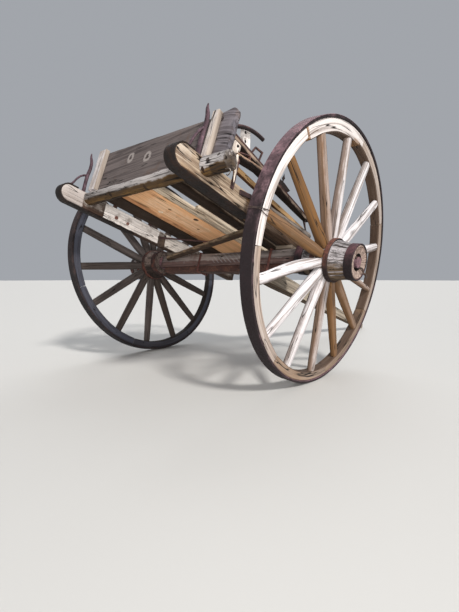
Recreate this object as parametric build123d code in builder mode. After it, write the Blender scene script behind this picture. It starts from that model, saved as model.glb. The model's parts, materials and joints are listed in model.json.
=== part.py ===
from build123d import *
import os
from math import asin, atan2, cos, radians, sin, tan

# Two-wheeled wooden cart. X points the way it is drawn, Y to its left, Z up.
# Z = 0 is the ground; X = 0 and Y = 0 are the middle of the whole length and width.

# Wheels
WHEEL_RADIUS = 685.8
TREAD_WIDTH = 66
TYRE_THICKNESS = 12
FELLOE_COUNT = 7
FELLOE_DEPTH = 50
FELLOE_WIDTH = 58
FELLOE_JOINT = 3
CAMBER = 5.9
HALF_TRACK = 779
SPOKE_COUNT = 14
SPOKE_OFFSET = 10
SPOKE_SHOULDER_WIDTH = 44
SPOKE_BODY_WIDTH = 54
SPOKE_BODY_START = 65
SPOKE_ROOT_THICKNESS = 44
SPOKE_TIP_WIDTH = 46
SPOKE_TIP_THICKNESS = 34
SPOKE_TENON = 28
SPOKE_TENON_WIDTH = 31
SPOKE_CORNER = 13
SPOKE_PHASE_RIGHT = 9.6
SPOKE_PHASE_LEFT = -1.6
NAVE_OUTER_REACH = 186
NAVE_INNER_REACH = 150
NAVE_RADIUS = 108
NAVE_END_RADIUS = 86
NAVE_STEP = 6
NAVE_MOUTH_RADIUS = 70
NAVE_THROAT_RADIUS = 42
NAVE_MOUTH_DEPTH = 45
BAND_THICKNESS = 9
END_BAND_WIDTH = 46
BAND_STAND_OFF = 4
SPOKE_BAND_WIDTH = 27
AXLE_BOX_WALL = 7
ARM_RADIUS = 28
ARM_CLEARANCE = 0.06
ARM_RECESS = 4
COLLAR_RADIUS = 48
COLLAR_THICKNESS = 14
THRUST_GAP = 5
LINCHPIN_RADIUS = 6
LINCHPIN_INSET = 10
LINCHPIN_TURN = 50
LINCHPIN_REACH = 40
LINCHPIN_BEND = 34
LINCHPIN_BEND_RADIUS = 8
LINCHPIN_TAIL = (38, 32)
LINCHPIN_KNOB_RADIUS = 8
LINCHPIN_KNOB_LENGTH = 8

# Axle, sills and bed, in the bed's own tilted frame: u forward, v left, w square to the bed
AXLE_DEPTH = 90
AXLE_TOP = 56
AXLE_BOTTOM = -28
UNDERBAR_DEPTH = 62
UNDERBAR_HEIGHT = 40
UNDERBAR_SHORT = 40
ARM_SOCKET = 110
CLIP_THICKNESS = 7
CLIP_WIDTH = 26
CLIP_LEFT_PLACE = 175
CLIP_RIGHT_INSET = 46
SILL_GAP = 82
SILL_WIDTH = 71
SILL_HEIGHT = 98
BOLSTER_HEIGHT = 27
BOLSTER_LENGTH = 110
SILL_REAR = 935
SILL_FRONT = 660
STRAP_THICKNESS = 7
STRAP_TOP_RUN = 45
STRAP_UNDER_RUN = 475
LOG_RADIUS = 38
LOG_BACK = 765
LOG_PROUD = 8
LOG_OVERHANG = 145
FIT = 0.3

# Tailboard with its battens, and the forked irons that hold it
BOARD_THICKNESS = 30
BOARD_REAR = 754
BOARD_LEAN = 3.5
BOARD_SKEW = 0.7
BOARD_LEFT_HEIGHT = 280
BOARD_RIGHT_HEIGHT = 212
BOARD_OVERHANG = 85
BOARD_SHORT = 6
BOARD_CORNER = 38
BATTEN_THICKNESS = 28
BATTEN_PROUD = 6
BATTEN_LEFT_WIDTH = 80
BATTEN_LEFT_LIFT = 16
BATTEN_RIGHT_WIDTH = 40
BATTEN_RIGHT_INSET = 7
IRON_WIDTH = 26
IRON_THICKNESS = 12
IRON_GAP = 2
IRON_FOOT = 18
BRACE_REACH = {"left": 80, "right": 60}

# Bends of each forked iron: back from its foot and height over the sill
IRON_BENDS = ((0, 110), (-6, 185), (-8, 216), (4, 250))
BRACE_BENDS = {
    "left": ((0, 109), (28, 95), (53, 67), (71, 38)),
    "right": ((0, 137), (20, 110), (34, 87), (48, 52)),
}

# Floor
PLANK_THICKNESS = 22
PLANK_FRONT = 650
CROSS_MEMBER_DEPTH = 52
CROSS_MEMBER_WIDTH = 80
CROSS_MEMBER_PLACES = (300, 560)
CLEAT_RADIUS = 6
CLEAT_FOOT_PLACE = -208
CLEAT_FOOT_HEIGHT = 130
CLEAT_END_PLACE = 43
CLEAT_END_ACROSS = 211
PLANK_RIGHT_GAP = 36
PLANK_RIGHT_WIDTH = 174
SPLIT_START = -99
SPLIT_END = 177
SPLIT_WIDTH = 56

# name, gap on its left, width (0 for the plank that fills the rest), shortfall at its rear and at its front
FLOOR_PLANKS = (
    ("plank_left", FIT, 168, 0, 0),
    ("plank_wide", 8, 0, 0, 4),
    ("strip_pale", 10, 60, 5, 12),
    ("strip_narrow", 16, 34, 316, 0),
    ("plank_dark", 34, 92, 16, 6),
    ("plank_right", 22, PLANK_RIGHT_WIDTH, 0, 20),
)

# Pole
POLE_REACH = 2430
POLE_REAR = 240
POLE_ROOT = 114
POLE_TIP = 64
HITCH_RADIUS = 11
HITCH_BACK = 75

# Upper rails, each tapering forwards, with an iron strip along the top, and lower rails under them
RAIL_REAR = 640
RAIL_FRONT = 110
RAIL_REAR_RISE = 204
RAIL_FRONT_RISE = 125
RAIL_REAR_WIDTH = 84
RAIL_FRONT_WIDTH = 30
RAIL_THICKNESS = 20
RAIL_INSET = 2
CAP_WIDTH = 18
CAP_THICKNESS = 8
LOWER_REAR = 600
LOWER_FRONT = 150
LOWER_REAR_RISE = 108
LOWER_FRONT_RISE = 74
LOWER_DEPTH = 30
LOWER_WIDTH = 22

# Irons that carry the rails
STANDARD_WIDTH = 26
STANDARD_THICKNESS = 8
STANDARD_INSET = 8
STANDARD_PLACES = {"left": (-585, -300), "right": (-300,)}
STAY_TOP_PLACE = 94
STAY_FOOT_PLACE = 209
STAY_WIDTH = 12
STAY_THICKNESS = 6

# Right rear corner: rave board on a stake and a strap, block, post, bent bar, keeper strap and hoop
RAVE_LENGTH = 270
RAVE_WIDTH = 54
RAVE_THICKNESS = 18
RAVE_RISE = 109
RAVE_PLACE = -474
RAVE_OUTSET = 18
RAVE_SKEW = 12
STRAP_IRON_PLACE = -591
STRAP_IRON_WIDTH = 18
STRAP_IRON_THICKNESS = 8
STRAP_IRON_DROP = 41
STAKE_PLACE = -606
STAKE_TOP_WIDTH = 22
STAKE_TOE_WIDTH = 7
STAKE_THICKNESS = 18
STAKE_DROP = 20
BLOCK_REAR = -628
BLOCK_LENGTH = 44
BLOCK_WIDTH = 45
BOLT_HOLE_RADIUS = 5
BLOCK_HOLE_HEIGHT = 35
POST_REAR = -532
POST_FRONT = -474
POST_LEAN = 28
POST_TAPER = 9
POST_HEIGHT = 106
POST_CREST = 12
POST_THICKNESS = 22
POST_INSET = 34
POST_HOLES = ((-7, 88), (-4, 60))
BAR_RADIUS = 10
BAR_PLACE = -690
BAR_INSET = 17
BAR_BEND_START = 142
BAR_BEND_RUN = 59
BAR_BEND_RISE = 110
BAR_END_RUN = 204
BAR_END_RISE = 59
KEEPER_THICKNESS = 4
KEEPER_WIDTH = 16
KEEPER_OUTSET = 5
KEEPER_FEET = (-602, -523)
KEEPER_PEAK = -530
KEEPER_RISE = 25
KEEPER_FRONT = -430
HOOP_THICKNESS = 8
HOOP_SEAT = 1.8
HOOP_INSET = 27
HOOP_FEET = (-492, -421)
HOOP_LEANS = (33, 18)
HOOP_HEIGHTS = (64, 76)

# Bracket with a finial on the right rail
BRACKET_REAR = -275
BRACKET_FRONT = -157
BRACKET_HEIGHT = 22
BRACKET_TOP_RUN = (7, 75)
BRACKET_TIP = 22
FINIAL_PLACE = -206
FINIAL_STEM = 4
FINIAL_SWELL = 9
FINIAL_HEIGHTS = (14, 26, 38, 55)

# Tapered pole lying on the right sill, and the round pole across under the bed
LOOSE_POLE_REAR = -330
LOOSE_POLE_FRONT = 140
LOOSE_POLE_THIN = 14
LOOSE_POLE_THICK = 25
CROSS_POLE_RADIUS = 20
CROSS_POLE_INSET = 24
CROSS_POLE_LEFT_HEIGHT = 28
CROSS_POLE_PLACE = -335
CROSS_POLE_OVERHANG = 28

# Worked out from the sizes above
SILL_OUTER = HALF_TRACK - NAVE_INNER_REACH - SILL_GAP
SILL_INNER = SILL_OUTER - SILL_WIDTH
SILL_BOTTOM = AXLE_TOP + BOLSTER_HEIGHT
SILL_TOP = SILL_BOTTOM + SILL_HEIGHT
SILL_MIDDLE = (SILL_BOTTOM + SILL_TOP) / 2
SILL_CENTRE = SILL_INNER + SILL_WIDTH / 2
SILL_END_RADIUS = SILL_HEIGHT / 2
SILL_REAR_CENTRE = SILL_END_RADIUS - SILL_REAR
LOG_HEIGHT = SILL_TOP + LOG_PROUD - LOG_RADIUS
FLOOR_LEVEL = SILL_TOP + LOG_PROUD
RAIL_OUTER = SILL_OUTER - RAIL_INSET
STANDARD_INNER = SILL_INNER + STANDARD_INSET
LOWER_INNER = STANDARD_INNER + STANDARD_THICKNESS + FIT
LOWER_OUTER = LOWER_INNER + LOWER_WIDTH
RAVE_BOTTOM = SILL_TOP + RAVE_RISE
RAVE_TOP = RAVE_BOTTOM + RAVE_THICKNESS
POLE_TOP = FLOOR_LEVEL - CROSS_MEMBER_DEPTH
POLE_TIP_HEIGHT = POLE_TOP - POLE_TIP / 2

tread_half = TREAD_WIDTH / 2
hub_height = WHEEL_RADIUS * cos(radians(CAMBER)) + tread_half * sin(radians(CAMBER))

# The bed tilts until the rounded tip of the pole meets the ground
tip_swing = (POLE_REACH**2 + POLE_TIP_HEIGHT**2) ** 0.5
tilt = asin((hub_height - POLE_TIP / 2) / tip_swing) + atan2(POLE_TIP_HEIGHT, POLE_REACH)

# The axle stands where the whole length is centred on X = 0
front_end = POLE_REACH * cos(tilt) + POLE_TIP_HEIGHT * sin(tilt) + POLE_TIP / 2
rear_end = SILL_REAR_CENTRE * cos(tilt) + SILL_MIDDLE * sin(tilt) - SILL_END_RADIUS - STRAP_THICKNESS
axle_x = -(front_end + rear_end) / 2

# The tailboard leans forwards and its left end stands further forward than its right one
board_left = SILL_INNER - BOARD_SHORT
board_right = -SILL_OUTER - BOARD_OVERHANG
board_lean = radians(BOARD_LEAN)
board_skew = radians(BOARD_SKEW)
plank_rear = (
    BOARD_REAR
    - (BOARD_THICKNESS + FIT) / cos(board_lean)
    - PLANK_THICKNESS * tan(board_lean)
    - board_left * tan(board_skew)
)
batten_right = BATTEN_RIGHT_INSET - SILL_OUTER
batten_back = BOARD_REAR + BATTEN_THICKNESS - (batten_right - BATTEN_RIGHT_WIDTH / 2) * tan(board_skew)

FORWARD = (cos(tilt), 0, -sin(tilt))
BED = Plane(origin=(axle_x, 0, hub_height), x_dir=FORWARD, z_dir=(sin(tilt), 0, cos(tilt)))


def side_plane(across):
    """Plane seen from the right: local x is forward, local y is square to the bed."""
    return Plane(origin=BED.from_local_coords((0, across, 0)), x_dir=FORWARD, z_dir=(0, -1, 0))


def cross_plane(along):
    """Plane seen from behind the cart's front: local x is left, local y is square to the bed."""
    return Plane(origin=BED.from_local_coords((along, 0, 0)), x_dir=(0, 1, 0), z_dir=FORWARD)


def wheel_plane(side):
    """Plane of a wheel's rim, with its normal out along the axle arm."""
    return Plane(
        origin=(axle_x, side * HALF_TRACK, hub_height),
        x_dir=(1, 0, 0),
        z_dir=(0, side * cos(lean), -sin(lean)),
    )


def board_plane():
    """Plane of the tailboard's rear face: local x is left, local y is up the board from the floor."""
    foot = BED.from_local_coords((-BOARD_REAR, 0, FLOOR_LEVEL))
    leftwards = BED.from_local_coords((sin(board_skew) - BOARD_REAR, cos(board_skew), FLOOR_LEVEL)) - foot
    upwards = BED.from_local_coords((sin(board_lean) - BOARD_REAR, 0, FLOOR_LEVEL + cos(board_lean))) - foot
    return Plane(origin=foot, x_dir=leftwards, z_dir=leftwards.cross(upwards))


def board_height(across):
    """Height of the tailboard over a place across it."""
    share = (across - board_right) / (board_left - board_right)
    return BOARD_RIGHT_HEIGHT + share * (BOARD_LEFT_HEIGHT - BOARD_RIGHT_HEIGHT)


def rail_top(along):
    """Height of an upper rail's top face over a place along the cart."""
    share = (along + RAIL_REAR) / (RAIL_REAR + RAIL_FRONT)
    return SILL_TOP + RAIL_REAR_RISE + share * (RAIL_FRONT_RISE - RAIL_REAR_RISE)


def rail_bottom(along):
    """Height of an upper rail's under face over a place along the cart."""
    return rail_top(along) - RAIL_THICKNESS


def save(piece, name):
    """Label a finished piece and write its STEP file."""
    piece.part.label = name
    export_step(piece.part, f"parts/{name}.step")


os.makedirs("parts", exist_ok=True)

# side name, side of the middle line, angle of the first spoke
SIDES = (("left", 1, SPOKE_PHASE_LEFT), ("right", -1, SPOKE_PHASE_RIGHT))
lean = radians(CAMBER)
spoke_step = 360 / SPOKE_COUNT
felloe_inner = WHEEL_RADIUS - TYRE_THICKNESS - FELLOE_DEPTH
box_radius = ARM_RADIUS + ARM_CLEARANCE + AXLE_BOX_WALL
collar_start = NAVE_INNER_REACH + THRUST_GAP
collar_end = collar_start + COLLAR_THICKNESS
arm_root = collar_end + ARM_SOCKET
arm_end = NAVE_OUTER_REACH - ARM_RECESS
pin_reach = arm_end - LINCHPIN_INSET
pin_turn = radians(LINCHPIN_TURN)
spoke_reach = (felloe_inner**2 - (SPOKE_TIP_WIDTH / 2) ** 2) ** 0.5 - FIT
timber_half = HALF_TRACK - collar_end * cos(lean) - COLLAR_RADIUS * sin(lean)
nave_rear_band = SPOKE_OFFSET - SPOKE_ROOT_THICKNESS / 2 - BAND_STAND_OFF - SPOKE_BAND_WIDTH
nave_front_band = SPOKE_OFFSET + SPOKE_ROOT_THICKNESS / 2 + BAND_STAND_OFF

# One spoke along X, square in its mortise, swelling past its shoulder and tapering to the felloe
root_radius = NAVE_RADIUS - SPOKE_TENON
with BuildPart() as spoke:
    with BuildSketch(Plane.YZ.offset(root_radius)):
        with Locations((0, SPOKE_OFFSET)):
            Rectangle(SPOKE_TENON_WIDTH, SPOKE_ROOT_THICKNESS)
    extrude(amount=SPOKE_TENON)
    for reach, width, thickness in (
        (NAVE_RADIUS, SPOKE_SHOULDER_WIDTH, SPOKE_ROOT_THICKNESS),
        (NAVE_RADIUS + SPOKE_BODY_START, SPOKE_BODY_WIDTH, SPOKE_ROOT_THICKNESS),
        (spoke_reach, SPOKE_TIP_WIDTH, SPOKE_TIP_THICKNESS),
    ):
        with BuildSketch(Plane.YZ.offset(reach)):
            with Locations((0, SPOKE_OFFSET)):
                Rectangle(width, thickness)
            chamfer(vertices(), SPOKE_CORNER)
    loft(ruled=True)

for name, side, phase in SIDES:
    rim = wheel_plane(side)

    with BuildPart() as tyre:
        with BuildSketch(rim.offset(-tread_half)):
            Circle(WHEEL_RADIUS)
            Circle(WHEEL_RADIUS - TYRE_THICKNESS, mode=Mode.SUBTRACT)
        extrude(amount=TREAD_WIDTH)
    save(tyre, f"tyre_{name}")

    # Seven felloes, each carrying two spokes, with open joints between them
    with BuildPart() as felloes:
        with BuildSketch(rim.offset(-FELLOE_WIDTH / 2)):
            Circle(WHEEL_RADIUS - TYRE_THICKNESS)
            Circle(felloe_inner, mode=Mode.SUBTRACT)
            joint_middle = felloe_inner + FELLOE_DEPTH / 2
            with PolarLocations(joint_middle, FELLOE_COUNT, start_angle=phase + spoke_step / 2):
                Rectangle(FELLOE_DEPTH * 1.5, FELLOE_JOINT, mode=Mode.SUBTRACT)
        extrude(amount=FELLOE_WIDTH)
    save(felloes, f"felloes_{name}")

    # The nave is a turned block, mortised for the spokes, bored for its iron box and flared at its mouth
    with BuildPart() as nave:
        with BuildSketch(Plane(origin=rim.origin, x_dir=rim.z_dir, z_dir=(1, 0, 0))):
            with BuildLine():
                Polyline(
                    (-NAVE_INNER_REACH, box_radius),
                    (-NAVE_INNER_REACH, NAVE_END_RADIUS),
                    (-NAVE_INNER_REACH + END_BAND_WIDTH, NAVE_END_RADIUS),
                    (nave_rear_band, NAVE_RADIUS),
                    (nave_front_band + SPOKE_BAND_WIDTH, NAVE_RADIUS),
                    (NAVE_OUTER_REACH - END_BAND_WIDTH, NAVE_END_RADIUS + NAVE_STEP),
                    (NAVE_OUTER_REACH - END_BAND_WIDTH, NAVE_END_RADIUS),
                    (NAVE_OUTER_REACH, NAVE_END_RADIUS),
                    (NAVE_OUTER_REACH, NAVE_MOUTH_RADIUS),
                    (NAVE_OUTER_REACH - NAVE_MOUTH_DEPTH, NAVE_THROAT_RADIUS),
                    (NAVE_OUTER_REACH - NAVE_MOUTH_DEPTH, box_radius),
                    close=True,
                )
            make_face()
        revolve(axis=Axis(rim.origin, rim.z_dir))
        mortise_thickness = SPOKE_ROOT_THICKNESS + 2 * FIT
        with BuildSketch(rim.offset(SPOKE_OFFSET - mortise_thickness / 2)):
            with PolarLocations(NAVE_RADIUS, SPOKE_COUNT, start_angle=phase):
                Rectangle(2 * (SPOKE_TENON + FIT), SPOKE_TENON_WIDTH + 2 * FIT)
        extrude(amount=mortise_thickness, mode=Mode.SUBTRACT)
    save(nave, f"nave_{name}")

    with BuildPart() as bands:
        for start, width, inner in (
            (-NAVE_INNER_REACH, END_BAND_WIDTH, NAVE_END_RADIUS),
            (nave_rear_band, SPOKE_BAND_WIDTH, NAVE_RADIUS),
            (nave_front_band, SPOKE_BAND_WIDTH, NAVE_RADIUS),
            (NAVE_OUTER_REACH - END_BAND_WIDTH, END_BAND_WIDTH, NAVE_END_RADIUS),
        ):
            with BuildSketch(rim.offset(start)):
                Circle(inner + BAND_THICKNESS)
                Circle(inner, mode=Mode.SUBTRACT)
            extrude(amount=width)
    save(bands, f"nave_bands_{name}")

    with BuildPart() as axle_box:
        with BuildSketch(rim.offset(-NAVE_INNER_REACH)):
            Circle(box_radius)
            Circle(ARM_RADIUS + ARM_CLEARANCE, mode=Mode.SUBTRACT)
        extrude(amount=NAVE_INNER_REACH + NAVE_OUTER_REACH - NAVE_MOUTH_DEPTH)
    save(axle_box, f"axle_box_{name}")

    with BuildPart() as spokes:
        with Locations(rim):
            with PolarLocations(0, SPOKE_COUNT, start_angle=phase):
                add(spoke.part)
    save(spokes, f"spokes_{name}")

    pin_way = rim.x_dir * cos(pin_turn) + rim.y_dir * (side * sin(pin_turn))
    pin_plane = Plane(origin=rim.from_local_coords((0, 0, pin_reach)), x_dir=rim.z_dir, z_dir=pin_way)

    # The iron arm runs from its socket in the axle timber, through the nave, to the linchpin
    with BuildPart() as arm:
        with BuildSketch(rim.offset(-arm_root)):
            Circle(ARM_RADIUS)
        extrude(amount=arm_root + arm_end)
        with BuildSketch(rim.offset(-collar_start - COLLAR_THICKNESS)):
            Circle(COLLAR_RADIUS)
        extrude(amount=COLLAR_THICKNESS)
        with BuildSketch(pin_plane.offset(-ARM_RADIUS)):
            Circle(LINCHPIN_RADIUS + FIT)
        extrude(amount=2 * ARM_RADIUS, mode=Mode.SUBTRACT)
    save(arm, f"axle_arm_{name}")

    # The linchpin goes through the arm's end and its tail bends out over the nave's face
    tail_end = (LINCHPIN_BEND + LINCHPIN_TAIL[0], LINCHPIN_TAIL[1])
    with BuildLine() as pin_line:
        FilletPolyline((-LINCHPIN_REACH, 0), (LINCHPIN_BEND, 0), tail_end, radius=LINCHPIN_BEND_RADIUS)
    pin_path = Plane(origin=pin_plane.origin, x_dir=pin_way, z_dir=pin_way.cross(rim.z_dir)) * pin_line.line
    with BuildPart() as linchpin:
        with BuildSketch(pin_plane.offset(-LINCHPIN_REACH)):
            Circle(LINCHPIN_RADIUS)
        sweep(path=pin_path)
        with BuildSketch(Plane(origin=pin_path @ 1, z_dir=pin_path % 1)):
            Circle(LINCHPIN_KNOB_RADIUS)
        extrude(amount=LINCHPIN_KNOB_LENGTH)
    save(linchpin, f"linchpin_{name}")

# Axle: timber with sockets for the arms, an iron bar under it and two clips round both
axle_middle = (AXLE_TOP + AXLE_BOTTOM) / 2
with BuildPart() as axle_timber:
    with BuildSketch(side_plane(0)):
        with Locations((0, axle_middle)):
            Rectangle(AXLE_DEPTH, AXLE_TOP - AXLE_BOTTOM)
    extrude(amount=timber_half, both=True)
    for name, side, phase in SIDES:
        with BuildSketch(wheel_plane(side).offset(-arm_root - FIT)):
            Circle(ARM_RADIUS + FIT)
        extrude(amount=arm_root, mode=Mode.SUBTRACT)
save(axle_timber, "axle_timber")

with BuildPart() as underbar:
    with BuildSketch(side_plane(0)):
        with Locations((0, AXLE_BOTTOM - UNDERBAR_HEIGHT / 2)):
            Rectangle(UNDERBAR_DEPTH, UNDERBAR_HEIGHT)
    extrude(amount=timber_half - UNDERBAR_SHORT, both=True)
save(underbar, "axle_underbar")

clip_height = AXLE_TOP - AXLE_BOTTOM + UNDERBAR_HEIGHT
with BuildPart() as clips:
    for place in (CLIP_LEFT_PLACE, CLIP_RIGHT_INSET - SILL_INNER):
        with BuildSketch(side_plane(place)):
            with Locations((0, AXLE_TOP - clip_height / 2)):
                Rectangle(AXLE_DEPTH + 2 * CLIP_THICKNESS, clip_height + 2 * CLIP_THICKNESS)
                Rectangle(AXLE_DEPTH, clip_height, mode=Mode.SUBTRACT)
        extrude(amount=CLIP_WIDTH / 2, both=True)
save(clips, "axle_clips")

with BuildPart() as bolsters:
    with BuildSketch(BED.offset(AXLE_TOP)):
        with Locations((0, SILL_CENTRE), (0, -SILL_CENTRE)):
            Rectangle(AXLE_DEPTH, BOLSTER_LENGTH)
    extrude(amount=BOLSTER_HEIGHT)
save(bolsters, "bolster_blocks")

# Sills, round at the rear, with iron shoes round their ends
for name, side, phase in SIDES:
    with BuildPart() as sill:
        with BuildSketch(side_plane(side * SILL_CENTRE)):
            with BuildLine():
                Line((SILL_REAR_CENTRE, SILL_BOTTOM), (SILL_FRONT, SILL_BOTTOM))
                Line((SILL_FRONT, SILL_BOTTOM), (SILL_FRONT, SILL_TOP))
                Line((SILL_FRONT, SILL_TOP), (SILL_REAR_CENTRE, SILL_TOP))
                ThreePointArc(
                    (SILL_REAR_CENTRE, SILL_TOP),
                    (SILL_REAR_CENTRE - SILL_END_RADIUS, SILL_MIDDLE),
                    (SILL_REAR_CENTRE, SILL_BOTTOM),
                )
            make_face()
        extrude(amount=SILL_WIDTH / 2, both=True)
        if side < 0:
            with BuildSketch(side_plane(-SILL_CENTRE)):
                with Locations((-LOG_BACK, LOG_HEIGHT)):
                    Circle(LOG_RADIUS + FIT)
            extrude(amount=SILL_WIDTH, both=True, mode=Mode.SUBTRACT)
    save(sill, f"side_sill_{name}")

    with BuildPart() as shoe:
        with BuildSketch(side_plane(side * SILL_CENTRE)):
            with BuildLine():
                ThreePointArc(
                    (SILL_REAR_CENTRE, SILL_TOP),
                    (SILL_REAR_CENTRE - SILL_END_RADIUS, SILL_MIDDLE),
                    (SILL_REAR_CENTRE, SILL_BOTTOM),
                )
                Polyline(
                    (SILL_REAR_CENTRE, SILL_BOTTOM),
                    (SILL_REAR_CENTRE + STRAP_UNDER_RUN, SILL_BOTTOM),
                    (SILL_REAR_CENTRE + STRAP_UNDER_RUN, SILL_BOTTOM - STRAP_THICKNESS),
                    (SILL_REAR_CENTRE, SILL_BOTTOM - STRAP_THICKNESS),
                )
                ThreePointArc(
                    (SILL_REAR_CENTRE, SILL_BOTTOM - STRAP_THICKNESS),
                    (SILL_REAR_CENTRE - SILL_END_RADIUS - STRAP_THICKNESS, SILL_MIDDLE),
                    (SILL_REAR_CENTRE, SILL_TOP + STRAP_THICKNESS),
                )
                Polyline(
                    (SILL_REAR_CENTRE, SILL_TOP + STRAP_THICKNESS),
                    (SILL_REAR_CENTRE + STRAP_TOP_RUN, SILL_TOP + STRAP_THICKNESS),
                    (SILL_REAR_CENTRE + STRAP_TOP_RUN, SILL_TOP),
                    (SILL_REAR_CENTRE, SILL_TOP),
                )
            make_face()
        extrude(amount=SILL_WIDTH / 2, both=True)
    save(shoe, f"sill_shoe_{name}")

# The round log butts on the left sill and lies across the right one in a notch
with BuildPart() as rear_log:
    with BuildSketch(side_plane(SILL_INNER)):
        with Locations((-LOG_BACK, LOG_HEIGHT)):
            Circle(LOG_RADIUS)
    extrude(amount=SILL_INNER + SILL_OUTER + LOG_OVERHANG)
save(rear_log, "rear_log")

# Tailboard standing on the log, pushed over to the right, with two battens behind it
board_face = board_plane()
with BuildPart() as tailboard:
    with BuildSketch(board_face) as board_outline:
        with BuildLine():
            Polyline(
                (board_left, 0),
                (board_right, 0),
                (board_right, BOARD_RIGHT_HEIGHT),
                (board_left, BOARD_LEFT_HEIGHT),
                close=True,
            )
        make_face()
        upper_right = board_outline.vertices().group_by(Axis.X)[0].sort_by(Axis.Y)[-1]
        fillet(upper_right, BOARD_CORNER)
    extrude(amount=BOARD_THICKNESS)
save(tailboard, "tailboard")

with BuildPart() as battens:
    with BuildSketch(board_face):
        for place, width, lift in (
            (board_left, BATTEN_LEFT_WIDTH, BATTEN_LEFT_LIFT),
            (batten_right, BATTEN_RIGHT_WIDTH, 0),
        ):
            batten_top = board_height(place) + BATTEN_PROUD
            with Locations((place, (lift + batten_top) / 2)):
                Rectangle(width, batten_top - lift)
    extrude(amount=-BATTEN_THICKNESS)
save(battens, "tailboard_battens")

# Forked irons on the sills behind the tailboard
for name, side, phase in SIDES:
    foot = -batten_back - IRON_GAP - IRON_THICKNESS / 2
    brace_end = foot - BRACE_REACH[name]
    brace_height = SILL_TOP + STRAP_THICKNESS + IRON_THICKNESS / 2
    with BuildPart() as iron:
        with BuildSketch(side_plane(side * SILL_CENTRE)):
            with BuildLine():
                Polyline((foot, SILL_TOP), *((foot - back, SILL_TOP + rise) for back, rise in IRON_BENDS))
                Polyline(
                    *((foot - back, SILL_TOP + rise) for back, rise in BRACE_BENDS[name]),
                    (brace_end, brace_height),
                    (brace_end - IRON_FOOT, brace_height),
                )
            trace(line_width=IRON_THICKNESS)
        extrude(amount=IRON_WIDTH / 2, both=True)
    save(iron, f"forked_iron_{name}")

# Floor: planks along the cart on the log and two cross members; the wide one fills what the others leave
taken = sum(gap + width for name, gap, width, rear_short, front_short in FLOOR_PLANKS) + PLANK_RIGHT_GAP
left_edge = SILL_INNER
for name, gap, width, rear_short, front_short in FLOOR_PLANKS:
    plank_width = width or 2 * SILL_INNER - taken
    rear = plank_rear - rear_short
    front = PLANK_FRONT - front_short
    left_edge -= gap
    with BuildPart() as plank:
        with BuildSketch(BED.offset(FLOOR_LEVEL)):
            with Locations(((front - rear) / 2, left_edge - plank_width / 2)):
                Rectangle(front + rear, plank_width)
            if name == "plank_right":
                with BuildLine():
                    Polyline(
                        (SPLIT_START, left_edge - plank_width),
                        (SPLIT_END, left_edge - SPLIT_WIDTH),
                        (front, left_edge - SPLIT_WIDTH),
                        (front, left_edge - plank_width),
                        close=True,
                    )
                make_face(mode=Mode.SUBTRACT)
        extrude(amount=PLANK_THICKNESS)
    save(plank, f"floor_{name}")
    left_edge -= plank_width

with BuildPart() as cross_members:
    for place in CROSS_MEMBER_PLACES:
        with BuildSketch(cross_plane(place)):
            with Locations((0, POLE_TOP + CROSS_MEMBER_DEPTH / 2)):
                Rectangle(2 * SILL_INNER, CROSS_MEMBER_DEPTH)
        extrude(amount=CROSS_MEMBER_WIDTH)
save(cross_members, "cross_members")

# Thin round bar slanting from the left sill's inner face up to the underside of the floor
cleat_slant = atan2(CLEAT_END_PLACE - CLEAT_FOOT_PLACE, SILL_INNER - CLEAT_END_ACROSS)
cleat_side = SILL_INNER - FIT - CLEAT_RADIUS * sin(cleat_slant)
cleat_foot = BED.from_local_coords((CLEAT_FOOT_PLACE, cleat_side, CLEAT_FOOT_HEIGHT))
cleat_end = BED.from_local_coords((CLEAT_END_PLACE, CLEAT_END_ACROSS, FLOOR_LEVEL - FIT - CLEAT_RADIUS))
with BuildPart() as cleat:
    with BuildSketch(Plane(origin=cleat_foot, z_dir=cleat_end - cleat_foot)):
        Circle(CLEAT_RADIUS)
    extrude(amount=(cleat_end - cleat_foot).length)
save(cleat, "floor_cleat")

# The pole, square under the bed and tapering to a round tip that rests on the ground
with BuildPart() as pole:
    with BuildSketch(cross_plane(POLE_REAR)):
        with Locations((0, POLE_TOP - POLE_ROOT / 2)):
            Rectangle(POLE_ROOT, POLE_ROOT)
    extrude(amount=SILL_FRONT - POLE_REAR)
    with BuildSketch(cross_plane(SILL_FRONT)):
        with Locations((0, POLE_TOP - POLE_ROOT / 2)):
            Rectangle(POLE_ROOT, POLE_ROOT)
    with BuildSketch(cross_plane(POLE_REACH)):
        with Locations((0, POLE_TIP_HEIGHT)):
            Rectangle(POLE_TIP, POLE_TIP)
    loft()
    with BuildSketch(side_plane(0)):
        with Locations((POLE_REACH, POLE_TIP_HEIGHT)):
            Circle(POLE_TIP / 2)
    extrude(amount=POLE_TIP / 2, both=True)
    with BuildSketch(BED.offset(POLE_TOP)):
        with Locations((POLE_REACH - HITCH_BACK, 0)):
            Circle(HITCH_RADIUS)
    extrude(amount=-POLE_ROOT, mode=Mode.SUBTRACT)
save(pole, "pole")

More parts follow.
